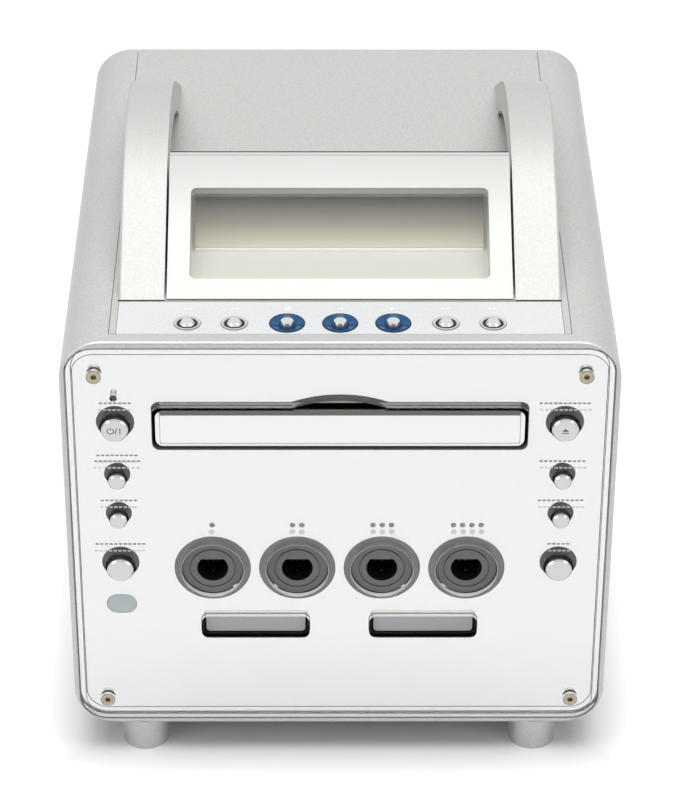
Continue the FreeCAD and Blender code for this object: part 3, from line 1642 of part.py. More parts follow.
panel_length = (d.panel_run * d.panel_run + d.panel_rise * d.panel_rise).root()
panel_foot = (face + d.panel_place, top + d.well_floor)
display_panel = doc.addObject("Part::Box", "display_panel")
bind(display_panel, "Length", window_width - 2 * d.panel_inset)
bind(display_panel, "Width", panel_length - d.panel_start)
bind(display_panel, "Height", d.panel_plate)
panel_run, panel_rise = d.panel_run / panel_length, d.panel_rise / panel_length
lay_on_slope(
    display_panel,
    panel_foot[0] + d.panel_start * panel_run + d.panel_plate * panel_rise,
    panel_foot[1] + d.panel_start * panel_rise - d.panel_plate * panel_run,
    d.panel_run, d.panel_rise)
bind(display_panel, "Placement.Base.x", d.panel_inset - window_width / 2)
node("display_panel", display_panel)

housing = doc.addObject("PartDesign::Body", "display_housing")
sketch = plane_sketch(housing, "housing_section", "YZ_Plane", -pod_width / 2)
polygon(sketch, [
    (bezel_foot, top), (face + d.pod_rear, top), (crown[0] + d.pod_top_depth, crown[1]),
    (crown[0] + d.pod_seam, crown[1]),
    (crown[0] + d.pod_seam_depth * lean_rise, crown[1] - d.pod_seam_depth * lean_run),
    bezel_back])
pad(housing, sketch, pod_width)
well = plane_sketch(housing, "well_section", "YZ_Plane", -window_width / 2)
floor_level = top + d.well_floor
well_top = d.window_low + d.window_length + d.well_margin
panel_back = d.panel_plate / panel_rise
polygon(well, [
    (bezel_foot + d.well_floor * d.pod_run / d.pod_rise, floor_level),
    (panel_foot[0] + panel_back, floor_level),
    (panel_foot[0] + panel_back + d.panel_run, floor_level + d.panel_rise),
    (pod_y + well_top * lean_run + d.bezel_thickness * lean_rise,
     top + well_top * lean_rise - d.bezel_thickness * lean_run),
])
pocket(housing, well, window_width, reverse=True)
node("display_housing", housing)


# Rear panel with a fan grille and socket openings

fan_place = (-d.fan_column, ground + d.fan_level)
wing = half - d.side_wall - d.chassis_margin
core_width = insert_width - 2 * (d.lip_width + d.chassis_margin)
rear_core = box("rear_core", around(0, core_width), rear_y, (base_top, panel_under))
rear_body = doc.addObject("PartDesign::Body", "rear_wings")
sketch = plane_sketch(rear_body, "rear_outline", "XZ_Plane", -rear_y[0])
rounded_rectangle(
    sketch, (-wing, wing), (base_top, lip_under - d.chassis_margin), d.corner_radius)
pad(rear_body, sketch, d.rear_thickness, reverse=True)
rear_cut = grown(rear_y, d.overrun)
rear_holes = []
slot_count = int((d.fan_bore_radius.value - d.grille_slot.value) / d.grille_pitch.value)
for step in range(-slot_count, slot_count + 1):
    offset = step * d.grille_pitch
    chord = (d.fan_bore_radius * d.fan_bore_radius - offset * offset).root() * 2 - d.grille_slot
    rear_holes.append(box(
        f"grille_{step + slot_count}", around(fan_place[0] + offset, d.grille_slot), rear_cut,
        around(fan_place[1], chord)))
jack_places = [
    (d.jack_column + column * d.jack_pitch, ground + d.jack_low + row * d.jack_row_pitch)
    for column in range(4) for row in range(2)
]
for step, place in enumerate(jack_places):
    rear_holes.append(rod(f"jack_hole_{step}", "y", place, rear_cut, d.jack_radius + d.fit_gap))
box_level = ground + d.port_box_level
box_places = [(d.port_box_column + step * d.port_box_pitch, box_level) for step in range(2)]
for step, (across, up) in enumerate(box_places):
    rear_holes.append(box(
        f"socket_hole_{step}", around(across, d.port_box_width + 2 * d.fit_gap), rear_cut,
        around(up, d.port_box_height + 2 * d.fit_gap)))
inlet_place = (-d.inlet_column, ground + d.inlet_level)
rear_holes.append(box(
    "inlet_hole", around(inlet_place[0], d.inlet_width + 2 * d.fit_gap), rear_cut,
    around(inlet_place[1], d.inlet_height + 2 * d.fit_gap)))
node("rear_panel", cut("rear_panel", fuse("rear_plate", rear_body, rear_core), *rear_holes))


# Rear sockets: phono jacks, two flat sockets and the mains inlet

def phono_jack(step, place):
    across, up = place
    block = box(
        f"jack_block_{step}", around(across, d.jack_block), (rear_y[0] - d.jack_block, rear_y[0]),
        around(up, d.jack_block))
    barrel = rod(
        f"jack_barrel_{step}", "y", place, (rear_y[0], rear_y[1] + d.jack_reach), d.jack_radius)
    bore = rod(
        f"jack_bore_{step}", "y", place,
        (rear_y[0] - d.jack_radius, rear_y[1] + d.jack_reach + d.overrun),
        d.jack_bore_radius)
    return cut(f"jack_{step}", fuse(f"jack_blank_{step}", block, barrel), bore)


def flat_socket(name, place, width, height, depth, wall):
    """Boxed socket, open to the rear, seated behind the panel by a flange."""
    across, up = place
    shell = box(
        f"{name}_shell", around(across, width), (rear_y[0] - depth, rear_y[1]), around(up, height))
    flange = box(
        f"{name}_flange", around(across, width + 2 * d.inlet_flange),
        (rear_y[0] - d.inlet_flange, rear_y[0]),
        around(up, height + 2 * d.inlet_flange))
    hollow = box(
        f"{name}_hollow", around(across, width - 2 * wall),
        (rear_y[0] - depth + wall, rear_y[1] + d.overrun),
        around(up, height - 2 * wall))
    return cut(name, fuse(f"{name}_blank", shell, flange), hollow)


av_size = (d.port_box_width, d.port_box_height)
sockets = [phono_jack(step, place) for step, place in enumerate(jack_places)]
sockets += [
    flat_socket(f"av_socket_{step}", place, *av_size, d.jack_block, d.port_box_wall)
    for step, place in enumerate(box_places)
]
sockets.append(flat_socket(
    "mains_inlet", inlet_place, d.inlet_width, d.inlet_height, d.inlet_depth, d.inlet_wall))
node("rear_sockets", group("rear_sockets", sockets))


# Fan: a square frame with struts, and a bladed rotor on its shaft

strut_y = (fan_y[0], fan_y[0] + d.fan_hub_plate)
fan_block = box("fan_block", around(fan_place[0], d.fan_size), fan_y, around(fan_place[1], d.fan_size))
fan_bore = rod("fan_bore", "y", fan_place, grown(fan_y, d.overrun), d.fan_bore_radius)
fan_plate = rod("fan_plate", "y", fan_place, strut_y, d.fan_hub_radius)
strut_across = box(
    "fan_strut_across", around(fan_place[0], d.fan_size - d.fan_strut), strut_y,
    around(fan_place[1], d.fan_strut))
strut_up = box(
    "fan_strut_up", around(fan_place[0], d.fan_strut), strut_y,
    around(fan_place[1], d.fan_size - d.fan_strut))
shaft_bore = rod(
    "fan_shaft_bore", "y", fan_place, grown(strut_y, d.overrun), d.fan_shaft_radius + d.bearing_gap)
fan_ring = fuse("fan_ring", cut("fan_rim", fan_block, fan_bore), fan_plate, strut_across, strut_up)
node("fan_frame", cut("fan_frame", fan_ring, shaft_bore))

rotor = doc.addObject("PartDesign::Body", "rotor_wheel")
hub_sketch = plane_sketch(rotor, "rotor_hub", "XY_Plane", 0)
circle(hub_sketch, 0, 0, d.fan_hub_radius)
pad(rotor, hub_sketch, d.fan_blade_height)
blade = plane_sketch(rotor, "rotor_blade", "YZ_Plane", d.fan_hub_radius - d.fan_blade_thickness)
lean = d.fan_blade_lean
polygon(blade, [
    (-lean, 0), (d.fan_blade_thickness - lean, 0), (d.fan_blade_thickness + lean, d.fan_blade_height),
    (lean, d.fan_blade_height)])
blade_length = d.fan_bore_radius - d.fan_tip_gap - d.fan_hub_radius
blade_pad = pad(rotor, blade, blade_length)
doc.recompute()
blades = rotor.newObject("PartDesign::PolarPattern", "rotor_blades")
blades.Originals = [blade_pad]
blades.Axis = (hub_sketch, ["N_Axis"])
blades.Angle = 360
blades.Occurrences = FAN_BLADES
rotor.Tip = blades
rotor_y = strut_y[1] + d.run_gap
place_along(rotor, "y", fan_place, rotor_y)
rotor_shaft = rod("rotor_shaft", "y", fan_place, (strut_y[0], rotor_y), d.fan_shaft_radius)
node("fan_rotor", fuse("fan_rotor", rotor, rotor_shaft))


# Boards on the base: main board with its heat sink, and the power supply

board_top = board_under + d.board_thickness
main_middle = (main_y[0] + main_y[1]) / 2
main_plate = box("main_plate", around(0, main_width), main_y, (board_under, board_top))
main_chip = box(
    "main_chip", around(0, d.chip_width), around(main_middle, d.chip_width),
    (board_top, board_top + d.chip_height))
sink_low = board_top + d.chip_height
sink = doc.addObject("PartDesign::Body", "heat_sink")
sketch = plane_sketch(sink, "sink_outline", "XY_Plane", sink_low)
sink_x, sink_y = around(0, d.sink_width), around(main_middle, d.sink_width)
rectangle(sketch, sink_x, sink_y)
pad(sink, sketch, d.sink_base)
fin = plane_sketch(sink, "sink_fin", "XY_Plane", sink_low + d.sink_base)
rectangle(fin, (sink_x[0], sink_x[0] + d.fin_thickness), sink_y)
fin_pad = pad(sink, fin, d.fin_height)
doc.recompute()
fins = sink.newObject("PartDesign::LinearPattern", "sink_fins")
fins.Originals = [fin_pad]
fins.Direction = (fin, ["H_Axis"])
bind(fins, "Length", d.sink_width - d.fin_thickness)
fins.Occurrences = FIN_COUNT
sink.Tip = fins
node("main_board", group("main_board", [fuse("main_card", main_plate, main_chip), sink]))

supply_middle = (supply_y[0] + supply_y[1]) / 2
SUPPLY_PART_SHARE = 0.34
supply_part = supply_width * SUPPLY_PART_SHARE
supply_plate = box("supply_plate", around(0, supply_width), supply_y, (board_under, board_top))
transformer = box(
    "transformer", around(-supply_part, d.transformer_width),
    around(supply_middle, d.transformer_depth),
    (board_top, board_top + d.transformer_height))
capacitor = rod(
    "capacitor", "z", (supply_part, supply_middle), (board_top, board_top + d.capacitor_height),
    d.capacitor_radius)
node("power_supply", fuse("power_supply", supply_plate, transformer, capacitor))


# Check every object, then write one file for each sub-part

doc.recompute()
for thing in doc.Objects:
    if any(state in ("Invalid", "Error") for state in thing.State):
        raise RuntimeError(f"{thing.Name} failed: {thing.State}")
os.makedirs("parts", exist_ok=True)
for solid in NODES:
    shape = solid.Shape
    if shape.isNull() or not shape.isValid() or not shape.Solids:
        raise RuntimeError(f"{solid.Label} has no valid solid")
    shape.exportStep(f"parts/{solid.Label}.step")
print(len(NODES), "sub-parts written")
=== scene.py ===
# %% [markdown]
# # A game console with a mirrored front
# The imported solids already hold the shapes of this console, so most of the work here is finish:
# flecked silver paint, clear acrylic over a mirror, satin mouldings and small printed marks. The
# solids are loaded first, and everything else takes its place from them.

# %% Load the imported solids
import math

import bmesh
import bpy
from mathutils import Matrix, Vector


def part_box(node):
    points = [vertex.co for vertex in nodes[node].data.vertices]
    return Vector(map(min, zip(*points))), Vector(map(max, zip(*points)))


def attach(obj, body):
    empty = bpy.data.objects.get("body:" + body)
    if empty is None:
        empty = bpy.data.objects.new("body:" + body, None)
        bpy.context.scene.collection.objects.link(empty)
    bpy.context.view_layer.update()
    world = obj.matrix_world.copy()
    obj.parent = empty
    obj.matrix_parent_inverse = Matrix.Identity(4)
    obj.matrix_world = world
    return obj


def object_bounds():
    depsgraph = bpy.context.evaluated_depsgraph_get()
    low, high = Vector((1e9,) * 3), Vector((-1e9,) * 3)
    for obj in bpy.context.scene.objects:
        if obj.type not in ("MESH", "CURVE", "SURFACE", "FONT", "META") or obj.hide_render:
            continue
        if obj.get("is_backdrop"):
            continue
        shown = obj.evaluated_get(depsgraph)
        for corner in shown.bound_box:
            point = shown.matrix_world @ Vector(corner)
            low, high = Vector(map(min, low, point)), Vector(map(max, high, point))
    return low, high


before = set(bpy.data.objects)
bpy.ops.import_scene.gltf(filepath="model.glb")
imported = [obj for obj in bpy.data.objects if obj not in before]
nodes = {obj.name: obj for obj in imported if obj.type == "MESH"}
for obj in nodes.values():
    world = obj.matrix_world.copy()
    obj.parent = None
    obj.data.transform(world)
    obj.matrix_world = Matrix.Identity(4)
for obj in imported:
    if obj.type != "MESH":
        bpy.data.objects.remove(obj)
cad_low, cad_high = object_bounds()
MM = 0.001
print("nodes", len(nodes), "box", [round(side, 4) for side in cad_high - cad_low])

# %% [markdown]
# ## Camera
# The photograph was taken from the front and well above, with a long lens. Such a lens keeps the
# sides of the box nearly parallel, so the lens length matters as much as the height: it is set
# from the way the console narrows towards the rear.

# %% Camera
CAMERA_PLACE = Vector((-5.8, -971.75, 702.0)) * MM
CAMERA_DROP = math.radians(32.71)
CAMERA_TURN = math.radians(0.41)
CAMERA_ROLL = math.radians(0.22)
LENS_LENGTH = 144.96

camera_data = bpy.data.cameras.new("camera")
camera_data.lens = LENS_LENGTH
camera = bpy.data.objects.new("camera", camera_data)
bpy.context.scene.collection.objects.link(camera)
camera.matrix_world = (
    Matrix.Translation(CAMERA_PLACE)
    @ Matrix.Rotation(-CAMERA_TURN, 4, "Z")
    @ Matrix.Rotation(math.pi / 2 - CAMERA_DROP, 4, "X")
    @ Matrix.Rotation(CAMERA_ROLL, 4, "Z")
)
bpy.context.scene.camera = camera
bpy.context.scene.view_settings.view_transform = "Standard"
print("camera", [round(place, 3) for place in camera.location], "lens", LENS_LENGTH)

# %% [markdown]
# ## Studio
# A product photograph on white: one broad softbox overhead, a smaller one at each side, and a white
# floor that runs out of the picture. The floor and the sky show white to the camera, to mirrors
# and to glass, but light the console only a little. The floor's own glow starts near the console's
# edge and fades out towards its foot, so the shadow under it stays, and the floor round the foot
# is painted darker as well: painted shadow. Behind the camera the room is darker, and that darkness
# draws the thin lines along polished edges.

# %% Small steps in a node tree
WHITE = (1, 1, 1, 1)


def feed(tree, value, socket):
    """A link from another socket, or a plain number."""
    if isinstance(value, bpy.types.NodeSocket):
        tree.links.new(value, socket)
    else:
        socket.default_value = value


def ramp(tree, value, low, high, to_low=0.0, to_high=1.0):
    """A value spread from one range to another."""
    node = tree.nodes.new("ShaderNodeMapRange")
    given = {"Value": value, "From Min": low, "From Max": high, "To Min": to_low, "To Max": to_high}
    for socket, number in given.items():
        feed(tree, number, node.inputs[socket])
    return node.outputs["Result"]


def maths(tree, operation, first, second=0.0):
    """One step of arithmetic."""
    node = tree.nodes.new("ShaderNodeMath")
    node.operation = operation
    feed(tree, first, node.inputs[0])
    feed(tree, second, node.inputs[1])
    return node.outputs[0]


def coordinates(tree, output):
    """The three parts of a coordinate."""
    parts = tree.nodes.new("ShaderNodeSeparateXYZ")
    tree.links.new(tree.nodes.new("ShaderNodeTexCoord").outputs[output], parts.inputs[0])
    return parts.outputs


def seen_directly(tree):
    """Mask of the rays from the camera, from mirrors and through glass."""
    path = tree.nodes.new("ShaderNodeLightPath").outputs
    straight = maths(tree, "MAXIMUM", path["Is Camera Ray"], path["Is Glossy Ray"])
    return maths(tree, "MAXIMUM", straight, path["Is Transmission Ray"])


# %% White sky, with a darker room behind the camera
SKY_LIGHT = 0.30
SKY_SHOWN = 1.0
ROOM_SHOWN = 0.22
ROOM_START, ROOM_END = -0.75, -0.9
ROOM_TOP, ROOM_FULL = 0.5, 0.3

world = bpy.data.worlds.new("studio_sky")
world.use_nodes = True
bpy.context.scene.world = world
sky_tree = world.node_tree
sky = sky_tree.nodes["Background"].inputs
sky["Color"].default_value = WHITE
facing = coordinates(sky_tree, "Generated")
behind_camera = ramp(sky_tree, facing["Y"], ROOM_START, ROOM_END)
low_down = ramp(sky_tree, facing["Z"], ROOM_TOP, ROOM_FULL)
room = maths(sky_tree, "MULTIPLY", behind_camera, low_down)
shown = ramp(sky_tree, room, 0, 1, SKY_SHOWN, ROOM_SHOWN)
strength = ramp(sky_tree, seen_directly(sky_tree), 0, 1, SKY_LIGHT, shown)
sky_tree.links.new(strength, sky["Strength"])
print("sky", SKY_LIGHT, "as light and", SKY_SHOWN, "as shown")

# %% White floor
FLOOR_SIZE = 4.0
FLOOR_COLOUR = (0.875, 0.875, 0.88, 1)
FLOOR_GLOW = 0.34
GLOW_START = -0.006
GLOW_END = 0.013

floor_material = bpy.data.materials.new("studio_floor")
floor_material.use_nodes = True
floor_tree = floor_material.node_tree
floor_shader = floor_tree.nodes["Principled BSDF"].inputs
floor_shader["Base Color"].default_value = FLOOR_COLOUR
floor_shader["Roughness"].default_value = 1
floor_shader["Specular IOR Level"].default_value = 0
floor_shader["Emission Color"].default_value = WHITE
spot = coordinates(floor_tree, "Object")
beside = maths(floor_tree, "SUBTRACT", maths(floor_tree, "ABSOLUTE", spot["X"]), cad_high.x)
before = maths(floor_tree, "SUBTRACT", maths(floor_tree, "ABSOLUTE", spot["Y"]), cad_high.y)
outside = maths(floor_tree, "MAXIMUM", beside, before)
# The glow fades out towards the console's footprint: painted shadow round and under the console.
glow = ramp(floor_tree, outside, GLOW_START, GLOW_END, 0, FLOOR_GLOW)
shown_glow = maths(floor_tree, "MULTIPLY", seen_directly(floor_tree), glow)
floor_tree.links.new(shown_glow, floor_shader["Emission Strength"])

floor_mesh = bpy.data.meshes.new("floor")
shape = bmesh.new()
bmesh.ops.create_grid(shape, x_segments=1, y_segments=1, size=FLOOR_SIZE)
shape.to_mesh(floor_mesh)
shape.free()
floor = bpy.data.objects.new("floor", floor_mesh)
floor.data.materials.append(floor_material)
bpy.context.scene.collection.objects.link(floor)
floor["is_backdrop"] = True
print("floor", FLOOR_SIZE * 2, "m wide")

# %% Softboxes
LAMP_AIM = Vector((0, 0, 0.1))
SOFTBOXES = {
    "softbox_top": {"place": (0.0, -0.12, 1.40), "size": (1.5, 1.1), "watts": 17.0},
    "softbox_left": {"place": (-0.95, -0.75, 0.55), "size": (0.5, 0.8), "watts": 2.2},
    "softbox_right": {"place": (0.95, -0.75, 0.55), "size": (0.5, 0.8), "watts": 1.7},
}
for name, box in SOFTBOXES.items():
    lamp = bpy.data.lights.new(name, "AREA")
    lamp.shape = "RECTANGLE"
    lamp.size, lamp.size_y = box["size"]
    lamp.energy = box["watts"]
    holder = bpy.data.objects.new(name, lamp)
    holder.location = box["place"]
    aim = LAMP_AIM - Vector(box["place"])
    holder.rotation_euler = aim.to_track_quat("-Z", "Y").to_euler()
    bpy.context.scene.collection.objects.link(holder)
print("softboxes", len(SOFTBOXES))

# %% [markdown]
# ## Effects that several finishes share
# Paint with metal flecks, the fine grain of a moulding and the faint smears on a polished face turn
# up again and again. Each is a node group with named inputs, built once and placed in every
# material that needs it with its own values.

# %% Making a node group


def new_group(name, inputs, outputs):
    """Empty shader group; returns its tree, the sockets that it is given and those it gives."""
    group = bpy.data.node_groups.new(name, "ShaderNodeTree")
    for socket, (kind, value) in inputs.items():
        made = group.interface.new_socket(
            socket, in_out="INPUT", socket_type=f"NodeSocket{kind}")
        made.default_value = value
    for socket, kind in outputs.items():
        group.interface.new_socket(socket, in_out="OUTPUT", socket_type=f"NodeSocket{kind}")
    given = group.nodes.new("NodeGroupInput").outputs
    return group, given, group.nodes.new("NodeGroupOutput").inputs


def object_place(tree):
    return tree.nodes.new("ShaderNodeTexCoord").outputs["Object"]


def noise(tree, place, scale, detail=2.0):
    node = tree.nodes.new("ShaderNodeTexNoise")
    tree.links.new(place, node.inputs["Vector"])
    feed(tree, scale, node.inputs["Scale"])
    feed(tree, detail, node.inputs["Detail"])
    return node.outputs["Fac"]


def mix_colour(tree, share, first, second):
    node = tree.nodes.new("ShaderNodeMix")
    node.data_type = "RGBA"
    for socket, value in {"Factor": share, "A": first, "B": second}.items():
        tree.links.new(value, node.inputs[socket])
    return node.outputs["Result"]


# %% Flecked paint
FLECK_START, FLECK_END, FLECK_COVER = 0.4, 1.0, 0.6
CLOUD_SCALE = 14
CLOUD_LOW, CLOUD_HIGH = 0.3, 0.7


def flecked_paint_group():
    """Silver paint: tiny bright flecks in a slightly uneven coat."""
    inputs = {
        "Paint": ("Color", (0.6, 0.6, 0.6, 1)), "Fleck": ("Color", (0.9, 0.9, 0.9, 1)),
        "Fleck Scale": ("Float", 2500.0),
        "Sheen Low": ("Float", 0.38), "Sheen High": ("Float", 0.5),
    }
    group, given, result = new_group(
        "flecked_paint", inputs, {"Color": "Color", "Roughness": "Float", "Height": "Float"})
    place = object_place(group)
    cells = group.nodes.new("ShaderNodeTexVoronoi")
    group.links.new(place, cells.inputs["Vector"])
    group.links.new(given["Fleck Scale"], cells.inputs["Scale"])
    lit = group.nodes.new("ShaderNodeSeparateColor")
    group.links.new(cells.outputs["Color"], lit.inputs[0])
    share = ramp(group, lit.outputs[0], FLECK_START, FLECK_END, 0.0, FLECK_COVER)
    group.links.new(mix_colour(group, share, given["Paint"], given["Fleck"]), result["Color"])
    cloud = noise(group, place, CLOUD_SCALE)
    rough = ramp(group, cloud, CLOUD_LOW, CLOUD_HIGH, given["Sheen Low"], given["Sheen High"])
    group.links.new(rough, result["Roughness"])
    group.links.new(lit.outputs[1], result["Height"])
    return group


FLECKED = flecked_paint_group()
print(FLECKED.name, len(FLECKED.nodes), "nodes")

# %% Moulded grain
DRIFT_SCALE = 30
DRIFT_LOW, DRIFT_HIGH = 0.35, 0.65
GRAIN_DETAIL = 3
GRAIN_LOW, GRAIN_HIGH = 0.3, 0.7


def moulded_grain_group():
    """Moulded plastic: a fine grain and a slow drift of tone."""
    inputs = {
        "Tone": ("Color", (0.1, 0.1, 0.1, 1)), "Drift": ("Color", (0.14, 0.14, 0.14, 1)),
        "Grain Scale": ("Float", 1800.0),
        "Rough Low": ("Float", 0.4), "Rough High": ("Float", 0.55),
    }
    group, given, result = new_group(
        "moulded_grain", inputs, {"Color": "Color", "Roughness": "Float", "Height": "Float"})
    place = object_place(group)
    drift = ramp(group, noise(group, place, DRIFT_SCALE), DRIFT_LOW, DRIFT_HIGH)
    group.links.new(mix_colour(group, drift, given["Tone"], given["Drift"]), result["Color"])
    grain = noise(group, place, given["Grain Scale"], GRAIN_DETAIL)
    rough = ramp(group, grain, GRAIN_LOW, GRAIN_HIGH, given["Rough Low"], given["Rough High"])
    group.links.new(rough, result["Roughness"])
    group.links.new(grain, result["Height"])
    return group


GRAINED = moulded_grain_group()
print(GRAINED.name, len(GRAINED.nodes), "nodes")

# %% Smears on a polished face
SMEAR_DETAIL = 4
SMEAR_LOW, SMEAR_HIGH = 0.45, 0.75


def smear_group():
    """Polished face: roughness that rises a little in soft smears."""
    inputs = {
        "Clean": ("Float", 0.02), "Smeared": ("Float", 0.08), "Smear Scale": ("Float", 25.0)}
    group, given, result = new_group("polish_smears", inputs, {"Roughness": "Float"})
    cloud = noise(group, object_place(group), given["Smear Scale"], SMEAR_DETAIL)
    rough = ramp(group, cloud, SMEAR_LOW, SMEAR_HIGH, given["Clean"], given["Smeared"])
    group.links.new(rough, result["Roughness"])
    return group


SMEARED = smear_group()
print(SMEARED.name, len(SMEARED.nodes), "nodes")

# %% [markdown]
# ## Making a finish
# Every finish is one material with one Principled shader. Plain numbers go straight on its sockets,
# and one of the groups above feeds the sockets that change over the surface. A helper that takes
# both as small dictionaries keeps each finish down to the values that make it what it is.

# %% Making a finish
BUMP_DEPTH = 0.02 * MM
SMEAR_RISE = 0.1


def new_finish(name, sockets, effect=None, values=None, bump=0.0):
    """Material with plain numbers on some sockets and an effect on the rest."""
    material = bpy.data.materials.new(name)
    material.use_nodes = True
    tree = material.node_tree
    shader = tree.nodes["Principled BSDF"].inputs
    for socket, value in sockets.items():
        shader[socket].default_value = value
    if not effect:
        return material
    grain = tree.nodes.new("ShaderNodeGroup")
    grain.node_tree = effect
    for socket, value in (values or {}).items():
        grain.inputs[socket].default_value = value
    for output, socket in (("Color", "Base Color"), ("Roughness", "Roughness")):
        if output in grain.outputs:
            tree.links.new(grain.outputs[output], shader[socket])
    if bump:
        relief = tree.nodes.new("ShaderNodeBump")
        relief.inputs["Strength"].default_value = bump
        relief.inputs["Distance"].default_value = BUMP_DEPTH
        tree.links.new(grain.outputs["Height"], relief.inputs["Height"])
        tree.links.new(relief.outputs["Normal"], shader["Normal"])
    return material


def plain_finish(name, colour, rough, smear_scale, sockets=None):
    """Finish in one colour, a little rougher in its smears."""
    return new_finish(
        name, {"Base Color": colour, **(sockets or {})}, SMEARED,
        {"Clean": rough, "Smeared": rough + SMEAR_RISE, "Smear Scale": smear_scale})


# %% Colours, and dressing a node
YELLOW_SHARE = 0.972


def grey(tone, warm=0.0):
    """Opaque grey, a little warm or cool."""
    return (tone * (1 + warm), tone, tone * (1 - warm), 1)


def ivory(tone):
    """Opaque grey with a trace of yellow."""
    return (tone, tone, tone * YELLOW_SHARE, 1)


def dress(material, *names):
    for name in names:
        nodes[name].data.materials.clear()
        nodes[name].data.materials.append(material)
    print(material.name, "on", len(names))


# %% [markdown]
# ## Silver shell
# The shell is sprayed with matte silver paint: close up it is grey with tiny brighter flecks, and
# from afar an even satin. A half metallic shader gives the soft sweep of light over the rounded
# corners, and the flecks come from small random cells.

# %% Silver shell, frame and arms
shell_silver = new_finish(
    "shell_silver", {"Metallic": 0.55}, FLECKED,
    {"Paint": ivory(0.52), "Fleck": ivory(0.70), "Fleck Scale": 3600,
     "Sheen Low": 0.42, "Sheen High": 0.46}, bump=0.12)
arm_silver = new_finish(
    "arm_silver", {"Metallic": 0.3}, FLECKED,
    {"Paint": ivory(0.49), "Fleck": ivory(0.64), "Fleck Scale": 4500,
     "Sheen Low": 0.46, "Sheen High": 0.50}, bump=0.1)
dress(shell_silver, "side_panel_left", "side_panel_right", "top_panel", "front_frame")
dress(arm_silver, "handle_arm_left", "handle_arm_right")

# %% [markdown]
# ## Clear front over a mirror
# The front is a thick clear plate with a mirror behind it, so it shows the white floor before the
# console. It could be faked with a pale glossy paint, but the buttons and the marks would then lose
# their second image. So the plate is real clear acrylic, and the mirror a plain smooth metal.

# %% Clear front, mirror and tray door
clear_acrylic = new_finish(
    "clear_acrylic", {"Base Color": (0.985, 0.99, 0.99, 1), "IOR": 1.49,
                      "Transmission Weight": 1.0, "Roughness": 0.0})
mirror_film = new_finish(
    "mirror_film", {"Base Color": grey(0.70, 0.008), "Metallic": 1.0}, SMEARED,
    {"Clean": 0.015, "Smeared": 0.03, "Smear Scale": 18})
dress(clear_acrylic, "front_window")
dress(mirror_film, "mirror_plate", "tray_door")

# %% [markdown]
# ## Mouldings
# The ports, the card slots and their flaps and the disc tray are moulded plastic, from black to a
# cool mid grey. They differ only in tone and gloss, so one grain effect serves them all.

# %% Mouldings
black_moulding = new_finish(
    "black_moulding", {"Specular IOR Level": 0.25}, GRAINED,
    {"Tone": grey(0.006), "Drift": grey(0.01), "Rough Low": 0.5, "Rough High": 0.65}, bump=0.1)
port_grey = new_finish(
    "port_grey", {"Coat Weight": 0.2, "Coat Roughness": 0.25}, GRAINED,
    {"Tone": grey(0.12), "Drift": grey(0.135), "Rough Low": 0.35, "Rough High": 0.45}, bump=0.1)
flap_grey = new_finish(
    "flap_grey", {}, GRAINED,
    {"Tone": (0.47, 0.47, 0.50, 1), "Drift": (0.50, 0.50, 0.53, 1),
     "Rough Low": 0.4, "Rough High": 0.5}, bump=0.1)
dress(black_moulding, "front_chassis", "card_slots", "drive_chassis", "disc_tray", "disc_clamp",
      "fan_frame", "fan_rotor", "rear_sockets")
dress(port_grey, "controller_ports")
dress(flap_grey, "card_flap_left", "card_flap_right")

# %% [markdown]
# ## Caps, screws and rings
# The caps are plated plastic and mirror the studio softly, and the screws are a warmer, duller
# metal. The caps on top look brighter in the photograph than those on the front, so the two sets
# have their own tones: the lighter tone on top is painted light. The strip on top is a glossy
# bluish white, with rings moulded in clear and in blue plastic.

# %% Caps and screws
FRONT_CAPS = [
    "power_button", "voice_button", "cinema_button", "reset_button",
    "open_close_button", "surround_button", "bass_button", "game_button",
]
TOP_COUNT = 7
TOP_CAPS = [f"top_button_{number}" for number in range(1, TOP_COUNT + 1)]
cap_silver = new_finish(
    "cap_silver", {"Base Color": grey(0.54), "Metallic": 0.95}, SMEARED,
    {"Clean": 0.13, "Smeared": 0.22, "Smear Scale": 300})
# Same plated plastic as the front caps, in a lighter tone: painted light.
top_cap_silver = new_finish(
    "top_cap_silver", {"Base Color": grey(0.72), "Metallic": 0.95}, SMEARED,
    {"Clean": 0.1, "Smeared": 0.18, "Smear Scale": 300})
screw_steel = new_finish(
    "screw_steel", {"Base Color": (0.40, 0.35, 0.27, 1), "Metallic": 1.0}, SMEARED,
    {"Clean": 0.22, "Smeared": 0.4, "Smear Scale": 600})
dress(cap_silver, *FRONT_CAPS)
dress(top_cap_silver, *TOP_CAPS)
dress(screw_steel, "front_screws")

# %% Control strip and its rings
strip_white = new_finish(
    "strip_white", {"Coat Weight": 0.5, "Coat Roughness": 0.08}, GRAINED,
    {"Tone": (0.67, 0.685, 0.70, 1), "Drift": (0.69, 0.705, 0.72, 1), "Grain Scale": 2600,
     "Rough Low": 0.25, "Rough High": 0.3})
ring_clear = new_finish(
    "ring_clear", {"Base Color": grey(0.58), "Coat Weight": 0.6}, SMEARED,
    {"Clean": 0.12, "Smeared": 0.2, "Smear Scale": 300})
ring_blue = new_finish(
    "ring_blue", {"Base Color": (0.004, 0.07, 0.20, 1), "Specular IOR Level": 0.3}, SMEARED,
    {"Clean": 0.1, "Smeared": 0.2, "Smear Scale": 300})
dress(strip_white, "control_strip")
dress(ring_clear, "clear_rings")
dress(ring_blue, "blue_rings")

# %% Lamp and sensor
lamp_tint = new_finish("lamp_tint", {"Base Color": (0.10, 0.06, 0.05, 1)}, SMEARED)
sensor_smoke = new_finish("sensor_smoke", {"Base Color": (0.565, 0.64, 0.68, 1)}, SMEARED)
dress(lamp_tint, "power_lamp")
dress(sensor_smoke, "sensor_lens")
